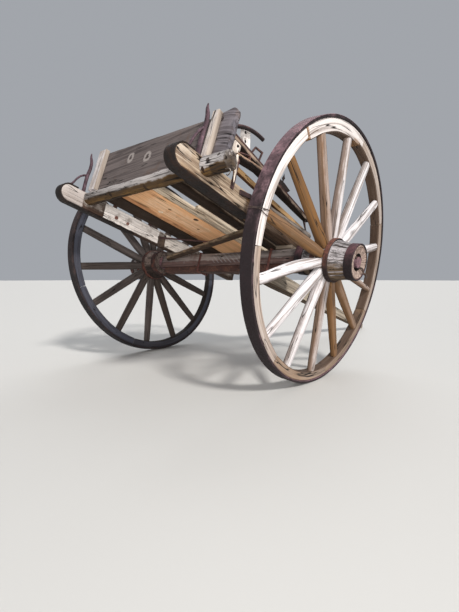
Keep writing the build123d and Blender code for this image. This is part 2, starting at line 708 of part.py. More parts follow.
# Upper rails with their iron strips, lower rails, standards and front stays
for name, side, phase in SIDES:
    with BuildPart() as rail:
        for along, width in ((-RAIL_REAR, RAIL_REAR_WIDTH), (RAIL_FRONT, RAIL_FRONT_WIDTH)):
            with BuildSketch(cross_plane(along)):
                with Locations((side * (RAIL_OUTER - width / 2), rail_top(along) - RAIL_THICKNESS / 2)):
                    Rectangle(width, RAIL_THICKNESS)
        loft(ruled=True)
    save(rail, f"upper_rail_{name}")

    with BuildPart() as cap:
        for along in (-RAIL_REAR, RAIL_FRONT):
            with BuildSketch(cross_plane(along)):
                with Locations((side * (RAIL_OUTER - CAP_WIDTH / 2), rail_top(along) + CAP_THICKNESS / 2)):
                    Rectangle(CAP_WIDTH, CAP_THICKNESS)
        loft(ruled=True)
    save(cap, f"rail_cap_{name}")

    with BuildPart() as lower_rail:
        for along, rise in ((-LOWER_REAR, LOWER_REAR_RISE), (LOWER_FRONT, LOWER_FRONT_RISE)):
            with BuildSketch(cross_plane(along)):
                with Locations((side * (LOWER_INNER + LOWER_WIDTH / 2), SILL_TOP + rise - LOWER_DEPTH / 2)):
                    Rectangle(LOWER_WIDTH, LOWER_DEPTH)
        loft(ruled=True)
    save(lower_rail, f"lower_rail_{name}")

    with BuildPart() as rail_irons:
        for place in STANDARD_PLACES[name]:
            standard_top = rail_bottom(place + STANDARD_WIDTH / 2) - FIT
            with BuildSketch(side_plane(side * STANDARD_INNER)):
                with Locations((place, (SILL_TOP + standard_top) / 2)):
                    Rectangle(STANDARD_WIDTH, standard_top - SILL_TOP)
            extrude(amount=-side * STANDARD_THICKNESS)
        with BuildSketch(side_plane(side * (LOWER_OUTER + FIT))):
            with BuildLine():
                Polyline(
                    (STAY_TOP_PLACE, rail_bottom(STAY_TOP_PLACE) - FIT),
                    (STAY_TOP_PLACE + STAY_WIDTH, rail_bottom(STAY_TOP_PLACE + STAY_WIDTH) - FIT),
                    (STAY_FOOT_PLACE + STAY_WIDTH, SILL_TOP),
                    (STAY_FOOT_PLACE, SILL_TOP),
                    close=True,
                )
            make_face()
        extrude(amount=-side * STAY_THICKNESS)
        if side < 0:
            strap_top = RAVE_BOTTOM - FIT
            strap_foot = SILL_TOP - STRAP_IRON_DROP
            with BuildSketch(side_plane(-SILL_OUTER - FIT)):
                with Locations((STRAP_IRON_PLACE, (strap_top + strap_foot) / 2)):
                    Rectangle(STRAP_IRON_WIDTH, strap_top - strap_foot)
            extrude(amount=STRAP_IRON_THICKNESS)
    save(rail_irons, f"rail_irons_{name}")

# Right rear corner: a splintered stake on the strap carries the rave board, with a block up to the rail
with BuildPart() as stake:
    with BuildSketch(side_plane(-SILL_OUTER - STRAP_IRON_THICKNESS - 2 * FIT)):
        with BuildLine():
            Polyline(
                (STAKE_PLACE - STAKE_TOP_WIDTH / 2, RAVE_BOTTOM - FIT),
                (STAKE_PLACE + STAKE_TOP_WIDTH / 2, RAVE_BOTTOM - FIT),
                (STAKE_PLACE + STAKE_TOE_WIDTH, SILL_TOP - STAKE_DROP),
                (STAKE_PLACE, SILL_TOP - STAKE_DROP),
                close=True,
            )
        make_face()
    extrude(amount=STAKE_THICKNESS)
save(stake, "rear_stake")

with BuildPart() as rave:
    with BuildSketch(BED.offset(RAVE_BOTTOM)):
        with Locations((RAVE_PLACE, -SILL_OUTER - RAVE_OUTSET)):
            Rectangle(RAVE_LENGTH, RAVE_WIDTH, rotation=-RAVE_SKEW)
    extrude(amount=RAVE_THICKNESS)
save(rave, "rave_board")

block_front = BLOCK_REAR + BLOCK_LENGTH
with BuildPart() as block:
    with BuildSketch(side_plane(-RAIL_OUTER)):
        with BuildLine():
            Polyline(
                (BLOCK_REAR, RAVE_TOP + FIT),
                (block_front, RAVE_TOP + FIT),
                (block_front, rail_bottom(block_front) - FIT),
                (BLOCK_REAR, rail_bottom(BLOCK_REAR) - FIT),
                close=True,
            )
        make_face()
        with Locations(((BLOCK_REAR + block_front) / 2, RAVE_TOP + BLOCK_HOLE_HEIGHT)):
            Circle(BOLT_HOLE_RADIUS, mode=Mode.SUBTRACT)
    extrude(amount=-BLOCK_WIDTH)
save(block, "rail_block")

with BuildPart() as post:
    with BuildSketch(side_plane(POST_INSET - RAIL_OUTER)):
        with BuildLine():
            Polyline(
                (POST_REAR, rail_top(POST_REAR) + FIT),
                (POST_REAR - POST_LEAN, rail_top(POST_REAR) + POST_HEIGHT),
                (POST_FRONT - POST_LEAN - POST_TAPER, rail_top(POST_REAR) + POST_HEIGHT + POST_CREST),
                (POST_FRONT, rail_top(POST_FRONT) + FIT),
                close=True,
            )
        make_face()
        for along, height in POST_HOLES:
            with Locations((POST_REAR + along, rail_top(POST_REAR) + height)):
                Circle(BOLT_HOLE_RADIUS, mode=Mode.SUBTRACT)
    extrude(amount=-POST_THICKNESS)
save(post, "rail_post")

# Round iron bar standing on the sill, bent forwards over the rail
bar_bend = SILL_TOP + BAR_BEND_START
shoulder_end = (BAR_PLACE + BAR_BEND_RUN, bar_bend + BAR_BEND_RISE)
with BuildLine() as bar_line:
    Line((BAR_PLACE, SILL_TOP + FIT), (BAR_PLACE, bar_bend))
    shoulder = TangentArc((BAR_PLACE, bar_bend), shoulder_end, tangent=(0, 1))
    TangentArc(
        shoulder_end,
        (shoulder_end[0] + BAR_END_RUN, shoulder_end[1] + BAR_END_RISE),
        tangent=shoulder % 1,
    )
bar_path = side_plane(BAR_INSET - SILL_OUTER) * bar_line.line
with BuildPart() as bent_bar:
    with BuildSketch(Plane(origin=bar_path @ 0, z_dir=BED.z_dir)):
        Circle(BAR_RADIUS)
    sweep(path=bar_path)
save(bent_bar, "bent_bar")

keeper_height = RAVE_TOP + FIT + KEEPER_THICKNESS / 2
with BuildPart() as keeper:
    with BuildSketch(side_plane(-SILL_OUTER - KEEPER_OUTSET)):
        with BuildLine():
            Polyline(
                (KEEPER_FEET[0], keeper_height),
                (KEEPER_PEAK, keeper_height + KEEPER_RISE),
                (KEEPER_FEET[1], keeper_height),
                (KEEPER_FRONT, keeper_height),
            )
        trace(line_width=KEEPER_THICKNESS)
    extrude(amount=KEEPER_WIDTH)
save(keeper, "flat_iron")

with BuildPart() as hoop:
    with BuildSketch(side_plane(HOOP_INSET - SILL_OUTER)):
        with BuildLine():
            Polyline(
                (HOOP_FEET[0], rail_top(HOOP_FEET[0]) + HOOP_SEAT),
                (HOOP_FEET[0] + HOOP_LEANS[0], rail_top(HOOP_FEET[0]) + HOOP_HEIGHTS[0]),
                (HOOP_FEET[1] + HOOP_LEANS[1], rail_top(HOOP_FEET[1]) + HOOP_HEIGHTS[1]),
                (HOOP_FEET[1], rail_top(HOOP_FEET[1]) + HOOP_SEAT),
            )
        trace(line_width=HOOP_THICKNESS)
    extrude(amount=HOOP_THICKNESS / 2, both=True)
save(hoop, "rail_hoop")

# Iron bracket on the right rail's strip, with a turned finial
cap_line = CAP_THICKNESS + FIT
bracket_top = rail_top(BRACKET_REAR) + cap_line + BRACKET_HEIGHT
with BuildPart() as bracket:
    with BuildSketch(side_plane(CAP_WIDTH - RAIL_OUTER)):
        with BuildLine():
            Polyline(
                (BRACKET_REAR, rail_top(BRACKET_REAR) + cap_line),
                (BRACKET_REAR + BRACKET_TOP_RUN[0], bracket_top),
                (BRACKET_REAR + BRACKET_TOP_RUN[1], bracket_top),
                (BRACKET_FRONT + BRACKET_TIP, rail_top(BRACKET_FRONT) + cap_line + BRACKET_HEIGHT),
                (BRACKET_FRONT, rail_top(BRACKET_FRONT) + cap_line),
                close=True,
            )
        make_face()
    extrude(amount=CAP_WIDTH)
    finial_middle = CAP_WIDTH / 2 - RAIL_OUTER
    finial_base = bracket_top - BRACKET_HEIGHT / 2
    with BuildSketch(side_plane(finial_middle)):
        with BuildLine():
            Polyline(
                (FINIAL_PLACE, finial_base),
                (FINIAL_PLACE + FINIAL_STEM, finial_base),
                (FINIAL_PLACE + FINIAL_STEM, bracket_top + FINIAL_HEIGHTS[0]),
                (FINIAL_PLACE + FINIAL_SWELL, bracket_top + FINIAL_HEIGHTS[1]),
                (FINIAL_PLACE + FINIAL_STEM, bracket_top + FINIAL_HEIGHTS[2]),
                (FINIAL_PLACE, bracket_top + FINIAL_HEIGHTS[3]),
                close=True,
            )
        make_face()
    revolve(axis=Axis(BED.from_local_coords((FINIAL_PLACE, finial_middle, 0)), BED.z_dir))
save(bracket, "rail_bracket")

# Loose tapered pole on the right sill, against the lower rail
thin_end, thick_end = (
    BED.from_local_coords((along, -LOWER_OUTER - FIT - radius, SILL_TOP + FIT + radius))
    for along, radius in ((LOOSE_POLE_REAR, LOOSE_POLE_THIN), (LOOSE_POLE_FRONT, LOOSE_POLE_THICK))
)
loose_line = thick_end - thin_end
across_pole = Plane(origin=thin_end, z_dir=loose_line)
with BuildPart() as loose_pole:
    with BuildSketch(Plane(origin=thin_end, x_dir=across_pole.x_dir, z_dir=-across_pole.y_dir)):
        with BuildLine():
            Polyline(
                (0, 0),
                (LOOSE_POLE_THIN, 0),
                (LOOSE_POLE_THICK, loose_line.length),
                (0, loose_line.length),
                close=True,
            )
        make_face()
    revolve(axis=Axis(thin_end, loose_line))
save(loose_pole, "loose_pole")

# Round pole from behind the left end of the axle to the underside of the right sill
cross_drop = SILL_BOTTOM - FIT - CROSS_POLE_RADIUS
cross_left = SILL_INNER + CROSS_POLE_INSET
cross_slant = atan2(-CROSS_POLE_PLACE - AXLE_DEPTH / 2, cross_left + SILL_OUTER)
cross_start = -AXLE_DEPTH / 2 - FIT - CROSS_POLE_RADIUS * cos(cross_slant)
past_sill = 1 + CROSS_POLE_OVERHANG / (cross_left + SILL_OUTER)
left_end = BED.from_local_coords((cross_start, cross_left, CROSS_POLE_LEFT_HEIGHT))
right_end = BED.from_local_coords(
    (
        cross_start + past_sill * (CROSS_POLE_PLACE - cross_start),
        -SILL_OUTER - CROSS_POLE_OVERHANG,
        CROSS_POLE_LEFT_HEIGHT + past_sill * (cross_drop - CROSS_POLE_LEFT_HEIGHT),
    )
)
with BuildPart() as cross_pole:
    with BuildSketch(Plane(origin=left_end, z_dir=right_end - left_end)):
        Circle(CROSS_POLE_RADIUS)
    extrude(amount=(right_end - left_end).length)
save(cross_pole, "cross_pole")
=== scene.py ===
"""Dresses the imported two-wheeled cart as weathered wood and rusty iron, in a plain studio."""

import json
import logging
import math
from collections.abc import Iterable, Iterator
from contextlib import contextmanager
from dataclasses import dataclass
from enum import Enum

import bpy
from mathutils import Matrix, Vector, noise

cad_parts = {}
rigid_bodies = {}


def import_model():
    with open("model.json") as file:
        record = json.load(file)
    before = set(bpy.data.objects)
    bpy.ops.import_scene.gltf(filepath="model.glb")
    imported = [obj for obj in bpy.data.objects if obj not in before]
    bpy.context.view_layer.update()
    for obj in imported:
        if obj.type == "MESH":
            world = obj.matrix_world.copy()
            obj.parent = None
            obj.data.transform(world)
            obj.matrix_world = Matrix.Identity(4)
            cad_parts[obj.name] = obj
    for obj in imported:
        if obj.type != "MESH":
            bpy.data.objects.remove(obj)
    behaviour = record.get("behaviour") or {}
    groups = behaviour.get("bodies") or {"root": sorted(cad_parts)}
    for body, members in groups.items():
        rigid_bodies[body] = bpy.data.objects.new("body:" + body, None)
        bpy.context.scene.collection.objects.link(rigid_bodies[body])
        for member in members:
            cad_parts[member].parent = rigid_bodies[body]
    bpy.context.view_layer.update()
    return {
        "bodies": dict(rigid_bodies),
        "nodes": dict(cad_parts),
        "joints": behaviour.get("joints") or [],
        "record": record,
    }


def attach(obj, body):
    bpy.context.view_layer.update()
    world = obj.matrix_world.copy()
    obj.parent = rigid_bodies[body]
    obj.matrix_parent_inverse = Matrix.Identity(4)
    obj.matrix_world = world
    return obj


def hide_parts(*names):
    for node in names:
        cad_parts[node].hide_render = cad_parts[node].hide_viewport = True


LOG = logging.getLogger("cart")
Pair = tuple[float, float]
Triple = tuple[float, float, float]
Colour = Triple
Socket = bpy.types.NodeSocket
Piece = bpy.types.Object
Material = bpy.types.Material
MM = 1000
MERGE = 0.00002
BAR_MERGE = 0.00005
FLAT_ANGLE = 1
SHARP_ANGLE = 35
TURNED_ANGLE = 40
ROUND_ANGLE = 45
SPOKE_ANGLE = 50


class Grain(Enum):
    """Which way the wood's fibres run, in the bed's or a wheel's own frame."""

    ALONG = "along the cart"
    ACROSS = "across the cart"
    UPRIGHT = "square to the bed"
    SPOKE = "out from the hub"
    RIM = "round the rim"
    AXLE = "along the wheel's axle"


def linear(colour: Colour) -> tuple[float, float, float, float]:
    """Convert a screen colour to the linear colour that shaders take.

    Args:
        colour: Red, green and blue from 0 to 255.

    Returns:
        Linear red, green, blue and an alpha of 1.
    """
    shares = [c / 255 for c in colour]
    return (*[s / 12.92 if s <= 0.04045 else ((s + 0.055) / 1.055) ** 2.4 for s in shares], 1.0)


@dataclass(frozen=True)
class BedFrame:
    """The bed's tilted frame: x forward along the sills, y left, z square to the floor."""

    axle: Vector
    tilt: float

    @classmethod
    def from_frame(cls, frame: dict) -> "BedFrame":
        """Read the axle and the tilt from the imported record.


        Returns:
            The bed's frame.
        """
        pos = frame["joints"][0]["pos_m"]
        axis = frame["record"]["mounts"][0]["axis"]
        return cls(Vector((pos[0], 0, pos[2])), math.atan2(axis[0], axis[2]))

    @property
    def matrix(self) -> Matrix:
        """Matrix from the bed's frame to the row frame."""
        return Matrix.Translation(self.axle) @ Matrix.Rotation(self.tilt, 4, "Y")


@dataclass(frozen=True)
class WheelFrame:
    """A wheel's frame: z out along its axle arm, x forward."""

    name: str
    centre: Vector
    lean: float
    side: int
    phase: float

    @classmethod
    def from_frame(cls, frame: dict, name: str, phase: float) -> "WheelFrame":
        """Read a wheel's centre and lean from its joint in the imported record.

        Args:
            name: "left" or "right".
            phase: Angle of the wheel's first spoke, in degrees.

        Returns:
            The wheel's frame.
        """
        joint = next(j for j in frame["joints"] if j["name"].startswith(name))
        side = 1 if name == "left" else -1
        lean = math.atan2(-side * joint["axis"][2], joint["axis"][1])
        return cls(name, Vector(joint["pos_m"]), lean, side, math.radians(phase))

    @property
    def body(self) -> str:
        """The CAD body that the wheel's pieces ride on."""
        return f"wheel_{self.name}"

    @property
    def matrix(self) -> Matrix:
        """Matrix from the wheel's frame to the row frame.

        Returns:
            The matrix.
        """
        out = Vector((0, self.side * math.cos(self.lean), -math.sin(self.lean)))
        forward = Vector((1, 0, 0))
        up = out.cross(forward)
        turn = Matrix((forward, up, out)).transposed().to_4x4()
        return Matrix.Translation(self.centre) @ turn


# Shader nodes

LEAST_TONE = 0.02
SPOKE_COUNT = 14
FELLOE_COUNT = 7
FELLOE_MIDDLE = 0.64


class Graph:
    """A material's node tree, with short calls for the nodes that the finishes share."""

    def __init__(self, name: str) -> None:
        """Start an empty material.

        Args:
            name: The material's name.
        """
        self.material = bpy.data.materials.new(name)
        self.material.use_nodes = True
        self.tree = self.material.node_tree
        self.tree.nodes.clear()
        self.shader = self.tree.nodes.new("ShaderNodeBsdfPrincipled")
        output = self.tree.nodes.new("ShaderNodeOutputMaterial")
        self.link(self.shader.outputs["BSDF"], output.inputs["Surface"])
        self.place = self.tree.nodes.new("ShaderNodeTexCoord")
        self.colour: Socket | None = None

    def link(self, source: Socket, target: Socket) -> None:
        """Link two sockets."""
        self.tree.links.new(source, target)

    def feed(self, target: Socket, value: object) -> None:
        """Link a socket to an input, or write a plain value there.

        Args:
            target: The input.
            value: A socket or a plain value.
        """
        if isinstance(value, Socket):
            self.link(value, target)
        else:
            target.default_value = value

    def add(self, kind: str, inputs: dict, **settings: object) -> bpy.types.Node:
        """Add a node.

        Args:
            kind: Its type, without the first words.
            inputs: Sockets or plain values, by the input's name or number.
            settings: The node's own settings.

        Returns:
            The node.
        """
        node = self.tree.nodes.new(f"ShaderNode{kind}")
        for key, value in settings.items():
            setattr(node, key, value)
        for key, value in inputs.items():
            self.feed(node.inputs[key], value)
        return node

    def math(self, operation: str, *values: object) -> Socket:
        """Add a maths node that does the operation on sockets or numbers."""
        return self.add("Math", dict(enumerate(values)), operation=operation).outputs[0]

    def plus(self, first: object, second: object) -> Socket:
        """Add two values."""
        return self.math("ADD", first, second)

    def minus(self, first: object, second: object) -> Socket:
        """Take the second value from the first."""
        return self.math("SUBTRACT", first, second)

    def times(self, first: object, second: object) -> Socket:
        """Multiply two values."""
        return self.math("MULTIPLY", first, second)

    def length(self, x: object, y: object) -> Socket:
        """Distance from the middle, from two coordinates."""
        return self.math("SQRT", self.plus(self.times(x, x), self.times(y, y)))

    def ragged(self, value: object, by: object, amount: float) -> Socket:
        """Shift a value up and down by noise that runs from 0 to 1."""
        return self.plus(value, self.times(self.minus(by, 0.5), amount))

    def spread(
        self, value: object, low: float, high: float, start: float = 0.0, end: float = 1.0
    ) -> Socket:
        """Map a value smoothly from one range to another.

        Args:
            value: What is mapped.
            low: Value that gives start.
            high: Value that gives end.
            start: Result at low.
            end: Result at high.

        Returns:
            The mapped value.
        """
        inputs = dict(enumerate((value, low, high, start, end)))
        return self.add("MapRange", inputs, interpolation_type="SMOOTHSTEP").outputs[0]

    def mix(self, factor: object, first: object, second: object) -> Socket:
        """Mix two colours.

        Args:
            factor: Share of the second colour.
            first: Colour socket or linear colour.
            second: Colour socket or linear colour.

        Returns:
            The mixed colour.
        """
        return self.add("Mix", {0: factor, 6: first, 7: second}, data_type="RGBA").outputs[2]

    def lay(self, share: object, colour: Colour) -> None:
        """Lay a screen colour over the material's colour, where the share is above 0."""
        self.colour = self.mix(share, self.colour, linear(colour))

    def finish(self, rough: Socket, shine: float, height: Socket, relief: float) -> Material:
        """Link the colour, roughness and relief to the shader.

        Args:
            rough: Roughness.
            shine: Specular level.
            height: Height of the relief, from 0 to 1.
            relief: Metres that a height of 1 stands for.

        Returns:
            The material.
        """
        self.link(self.colour, self.shader.inputs["Base Color"])
        self.link(rough, self.shader.inputs["Roughness"])
        self.shader.inputs["Specular IOR Level"].default_value = shine
        self.link(self.bump(height, relief), self.shader.inputs["Normal"])
        return self.material

    def noise(
        self, vector: object, scale: float, detail: float = 4, roughness: float = 0.55,
        distortion: float = 0.0
    ) -> Socket:
        """Add a noise texture.

        Args:
            vector: Where it is looked up.
            scale: Its scale.
            detail: Its number of octaves.
            roughness: How strong the finer octaves are.
            distortion: How far it is warped.

        Returns:
            Its value.
        """
        inputs = {
            "Vector": vector, "Scale": scale, "Detail": detail, "Roughness": roughness,
            "Distortion": distortion
        }
        return self.add("TexNoise", inputs).outputs["Fac"]

    def steps(self, number: object, values: tuple[float, ...]) -> Socket:
        """Look a whole number up in a row of values.

        Args:
            number: The whole number, from 0.
            values: One value for each number.

        Returns:
            The value.
        """
        node = self.add("ValToRGB", {})
        node.color_ramp.interpolation = "CONSTANT"
        count = len(values)
        self.feed(node.inputs[0], self.math("DIVIDE", self.plus(number, 0.5), count))
        stops = node.color_ramp.elements
        while len(stops) < count:
            stops.new(1.0)
        for index, value in enumerate(values):
            stops[index].position = index / count
            stops[index].color = (value, value, value, 1)
        return node.outputs[0]

    def within(self, value: object, low: float, high: float, soft: float) -> Socket:
        """Share from 0 to 1 of a value that lies between two limits."""
        above = self.spread(value, low - soft, low + soft)
        return self.times(above, self.spread(value, high - soft, high + soft, 1.0, 0.0))

    def split(self, vector: object) -> tuple:
        """Split a vector into its three parts."""
        return tuple(self.add("SeparateXYZ", {0: vector}).outputs)

    def join(self, *parts: object) -> Socket:
        """Join three values into a vector."""
        return self.add("CombineXYZ", dict(enumerate(parts))).outputs[0]

    def local(self, matrix: Matrix) -> Socket:
        """Object coordinates turned into a sub-frame.

        Args:
            matrix: Matrix from the sub-frame to the row frame.

        Returns:
            The coordinates in the sub-frame.
        """
        inverse = matrix.inverted()
        place = {"Location": inverse.to_translation(), "Rotation": inverse.to_euler("XYZ")}
        return self.add("Mapping", {"Vector": self.place.outputs["Object"], **place}).outputs[0]

    def facing(self, direction: Triple) -> Socket:
        """How far the surface faces a direction, from -1 to 1."""
        inputs = {0: self.place.outputs["Normal"], 1: Vector(direction).normalized()}
        return self.add("VectorMath", inputs, operation="DOT_PRODUCT").outputs["Value"]

    def bump(self, height: object, distance: float) -> Socket:
        """Add a bump node.

        Args:
            height: The height, from 0 to 1.
            distance: Metres that a height of 1 stands for.

        Returns:
            The bumped normal.
        """
        return self.add("Bump", {"Strength": 1.0, "Distance": distance, "Height": height}).outputs[0]


@dataclass(frozen=True)
class Spot:
    """A pale or dark mark on wood, at a place in the frame that the grain runs in."""

    centre: Triple
    radius: float
    hollow: float
    colour: Colour
    through: int = -1


@dataclass(frozen=True)
class Zone:
    """A stretch of wood with a colour laid over it, between two corners in the frame that the grain runs
    in; some zones are the wood's own colour and some are painted sunlight or painted shadow.
    """

    low: Triple
    high: Triple
    colour: Colour
    share: float = 1.0
    soft: float = 0.004
    # Painted sunlight: above 0, the zone shows as slanted bands, as sun falls between the spokes.
    sun_stripes: float = 0.0


@dataclass(frozen=True)
class Wood:
    """Weathered wood with fibres and cracks, one colour on faces turned towards a given direction and
    another on faces turned away; this is partly real bleaching and partly painted light and painted shade.
    """

    name: str
    exposed_and_lit: Colour
    sheltered_and_shaded: Colour
    streak: Colour
    grain: Grain = Grain.ALONG
    cracks: float = 0.5
    crack_scale: float = 26
    fibre: float = 0.5
    shelter: Pair = (-0.45, 0.35)
    stain: Colour = (60, 46, 36)
    stained: float = 0.25
    sky: Triple = (-0.15, -0.6, 0.8)
    # Painted shade: a colour for faces turned from the light, laid there in place of the brown colour; on
    # the battens it is a paler colour.
    shade: Colour | None = None
    spots: tuple[Spot, ...] = ()
    zones: tuple[Zone, ...] = ()
    tones: tuple[float, ...] = ()
    inner: Colour | None = None
    arc: Pair = (0.0, 0.0)
    relief: float = 0.0016

    def grain_place(self, graph: Graph, bed: BedFrame, wheel: WheelFrame | None) -> tuple:
        """Coordinates with x along the fibres, and a number for each spoke or felloe.

        Args:
            graph: The material's nodes.
            bed: The bed's frame.
            wheel: The wheel's frame, for wood on a wheel.

        Returns:
            The coordinates and the number's socket.
        """
        if wheel is None:
            u, v, w = graph.split(graph.local(bed.matrix))
            order = {Grain.ALONG: (u, v, w), Grain.ACROSS: (v, u, w), Grain.UPRIGHT: (w, u, v)}[self.grain]
            return graph.join(*order), 0.0
        x, y, z = graph.split(graph.local(wheel.matrix))
        if self.grain is Grain.AXLE:
            return graph.join(z, x, y), 0.0
        count, half = (SPOKE_COUNT, 0.5) if self.grain is Grain.SPOKE else (FELLOE_COUNT, -0.25)
        step = math.tau / count
        angle = graph.math("ARCTAN2", y, x)
        turned = graph.math("FLOORED_MODULO", graph.plus(angle, half * step - wheel.phase), math.tau)
        number = graph.math("FLOOR", graph.math("DIVIDE", turned, step))
        swing = graph.minus(turned, graph.times(graph.plus(number, 0.5), step))
        radius = graph.length(x, y)
        shift = graph.times(number, 3.7)
        if self.grain is Grain.SPOKE:
            along = graph.times(radius, graph.math("COSINE", swing))
            across = graph.times(radius, graph.math("SINE", swing))
            return graph.join(graph.plus(along, shift), graph.plus(across, shift), z), number
        along = graph.plus(graph.times(swing, FELLOE_MIDDLE), shift)
        return graph.join(along, graph.plus(radius, shift), z), number

    def build(self, bed: BedFrame, wheel: WheelFrame | None = None) -> Material:
        """Make the material.

        Args:
            bed: The bed's frame.
            wheel: The wheel's frame, for wood on a wheel.

        Returns:
            The material.
        """
        graph = Graph(self.name if wheel is None else f"{self.name}_{wheel.name}")
        place, number = self.grain_place(graph, bed, wheel)
        x, y, z = graph.split(place)
        swept = z
        if self.arc[1]:
            past = graph.math("MAXIMUM", graph.minus(self.arc[0], x), 0.0)
            swept = graph.plus(z, graph.times(graph.times(past, past), self.arc[1]))
        long, strand, fine = (graph.join(graph.times(x, share), y, swept) for share in (0.12, 0.055, 0.035))
        broad = graph.noise(long, 9, 3, 0.6, 0.4)
        fibres = graph.noise(fine, 190, 5, 0.7, 0.2)
        bands = graph.noise(fine, 60, 4, 0.6, 0.6)
        blotches = graph.noise(place, 14, 5, 0.65)
        split = graph.math("ABSOLUTE", graph.minus(graph.noise(strand, self.crack_scale, 2, 0.5, 0.3), 0.5))
        keep = graph.spread(graph.noise(place, 5, 2), 0.62 - 0.3 * self.cracks, 0.78 - 0.3 * self.cracks)
        crack = graph.times(graph.spread(split, 0.002, 0.012, 1.0, 0.0), keep)
        # Faces turned towards the given direction take the pale colour and faces turned away the brown one,
        # or the painted shade colour where one is given: partly real sun-bleaching, partly painted light
        # and painted shade.
        facing = graph.facing(self.sky)
        ragged = graph.ragged(facing, blotches, 0.9)
        lit_and_weathered = graph.spread(ragged, *self.shelter)
        graph.colour = graph.mix(lit_and_weathered, linear(self.shade or self.sheltered_and_shaded), linear(self.exposed_and_lit))
        lighter = tuple(min(255, c * 1.12 + 8) for c in self.exposed_and_lit)
        patch = graph.times(graph.spread(broad, 0.42, 0.66), 0.5)
        graph.lay(graph.times(patch, lit_and_weathered), lighter)
        if self.tones:
            rough = graph.ragged(graph.steps(number, self.tones), broad, 0.8)
            toned = tuple(float(tone > LEAST_TONE) for tone in self.tones)
            some = graph.times(graph.steps(number, toned), rough)
            graph.lay(graph.spread(some, 0.0, 1.0), self.sheltered_and_shaded)
        if self.inner:
            graph.lay(self.inward(graph, wheel), self.inner)
        for zone in self.zones:
            graph.lay(self.zone_share(graph, zone, (x, y, z), blotches), zone.colour)
        streaks = graph.times(graph.spread(bands, 0.56, 0.36), self.fibre)
        graph.lay(streaks, self.streak)
        hairs = graph.times(graph.spread(fibres, 0.5, 0.28), self.fibre * 0.8)
        graph.lay(hairs, self.streak)
        stains = graph.times(graph.spread(graph.noise(place, 6, 5, 0.7, 0.5), 0.56, 0.72), self.stained)
        graph.lay(stains, self.stain)
        height = graph.minus(graph.times(fibres, 0.5), crack)
        for spot in self.spots:
            near = graph.add("VectorMath", {1: spot.centre}, operation="DISTANCE")
            kept = [x, y, z]
            if spot.through >= 0:
                kept[spot.through] = spot.centre[spot.through]
            graph.feed(near.inputs[0], graph.join(*kept))
            wobble = graph.ragged(near.outputs["Value"], bands, spot.radius * 0.9)
            disc = graph.spread(wobble, spot.radius, spot.radius * 0.82)
            inner = graph.spread(wobble, spot.hollow * 0.8, spot.hollow) if spot.hollow else 1.0
            graph.lay(graph.times(disc, inner), spot.colour)
        graph.lay(crack, tuple(c * 0.35 for c in self.streak))
        return graph.finish(graph.spread(blotches, 0.3, 0.7, 0.95, 0.8), 0.25, height, self.relief)

    @staticmethod
    def inward(graph: Graph, wheel: WheelFrame) -> Socket:
        """Share from 0 to 1 of a wheel's surface that faces its hub.

        Args:
            graph: The material's nodes.
            wheel: The wheel's frame.

        Returns:
            The share.
        """
        inputs = {
            "Vector": graph.place.outputs["Normal"], "Rotation": wheel.matrix.inverted().to_euler("XYZ")
        }
        turn = graph.add("Mapping", inputs, vector_type="VECTOR")
        right, up, _ = graph.split(turn.outputs[0])
        x, y, _ = graph.split(graph.local(wheel.matrix))
        reach = graph.length(x, y)
        both = graph.plus(graph.times(x, right), graph.times(y, up))
        outward = graph.math("DIVIDE", both, reach)
        return graph.spread(outward, -0.35, -0.75)

    @staticmethod
    def zone_share(graph: Graph, zone: Zone, parts: tuple, blotches: Socket) -> Socket:
        """How much of a zone's colour shows at a place.

        Args:
            graph: The material's nodes.
            zone: The zone.
            parts: The place's three coordinates.
            blotches: Noise that makes its edge ragged.

        Returns:
            The share, from 0 to 1.
        """
        ragged = graph.times(graph.minus(blotches, 0.5), 6 * zone.soft)
        share = zone.share
        for part, low, high in zip(parts, zone.low, zone.high):
            share = graph.times(share, graph.within(graph.plus(part, ragged), low, high, zone.soft))
        # Painted sunlight: slanted bands of light, as sun falls between the spokes.
        if zone.sun_stripes:
            slant = graph.plus(parts[0], graph.times(parts[2], -1.3))
            bent = graph.plus(slant, graph.times(blotches, 0.01))
            wave = graph.math("SINE", graph.times(bent, zone.sun_stripes))
            share = graph.times(share, graph.spread(wave, 0.25, 0.75))
        return share


@dataclass(frozen=True)
class Iron:
    """Rusty iron with pits, scale and lighter worn patches, and on some irons a painted shade on faces
    turned from the light.
    """

    name: str
    base: Colour
    rust: Colour
    dark: Colour
    grit: float = 0.0007
    worn: float = 0.3
    # Painted shade: a dark colour laid on faces turned from the light.
    painted_shade: Colour | None = None
    sky: Triple = (-0.3, -0.1, 1.0)
    shelter: Pair = (-0.15, 0.55)

    def build(self) -> Material:
        """Make the material.

        Returns:
            The material.
        """
        graph = Graph(self.name)
        place = graph.place.outputs["Object"]
        coarse = graph.noise(place, 16, 5, 0.65, 0.6)
        medium = graph.noise(place, 70, 5, 0.7)
        fine = graph.noise(place, 420, 3, 0.6)
        graph.colour = graph.mix(graph.spread(coarse, 0.42, 0.64), linear(self.base), linear(self.rust))
        graph.lay(graph.spread(medium, 0.54, 0.36, 0.0, 0.75), self.dark)
        pale = tuple(min(255, c * 1.35 + 14) for c in self.rust)
        worn = graph.times(graph.spread(graph.noise(place, 34, 6, 0.75), 0.56, 0.7), self.worn)
        graph.lay(worn, pale)
        # Painted shade on the faces turned from the light.
        if self.painted_shade:
            ragged = graph.plus(graph.facing(self.sky), graph.minus(coarse, 0.5))
            graph.lay(graph.spread(ragged, *self.shelter, 0.96, 0.0), self.painted_shade)
        pits = graph.add("TexVoronoi", {"Vector": place, "Scale": 160})
        pit = graph.spread(pits.outputs["Distance"], 0.05, 0.3)
        height = graph.plus(graph.times(fine, 0.5), graph.times(pit, 0.6))
        graph.shader.inputs["Metallic"].default_value = 0.15
        return graph.finish(graph.spread(medium, 0.3, 0.7, 0.62, 0.9), 0.4, height, self.grit)


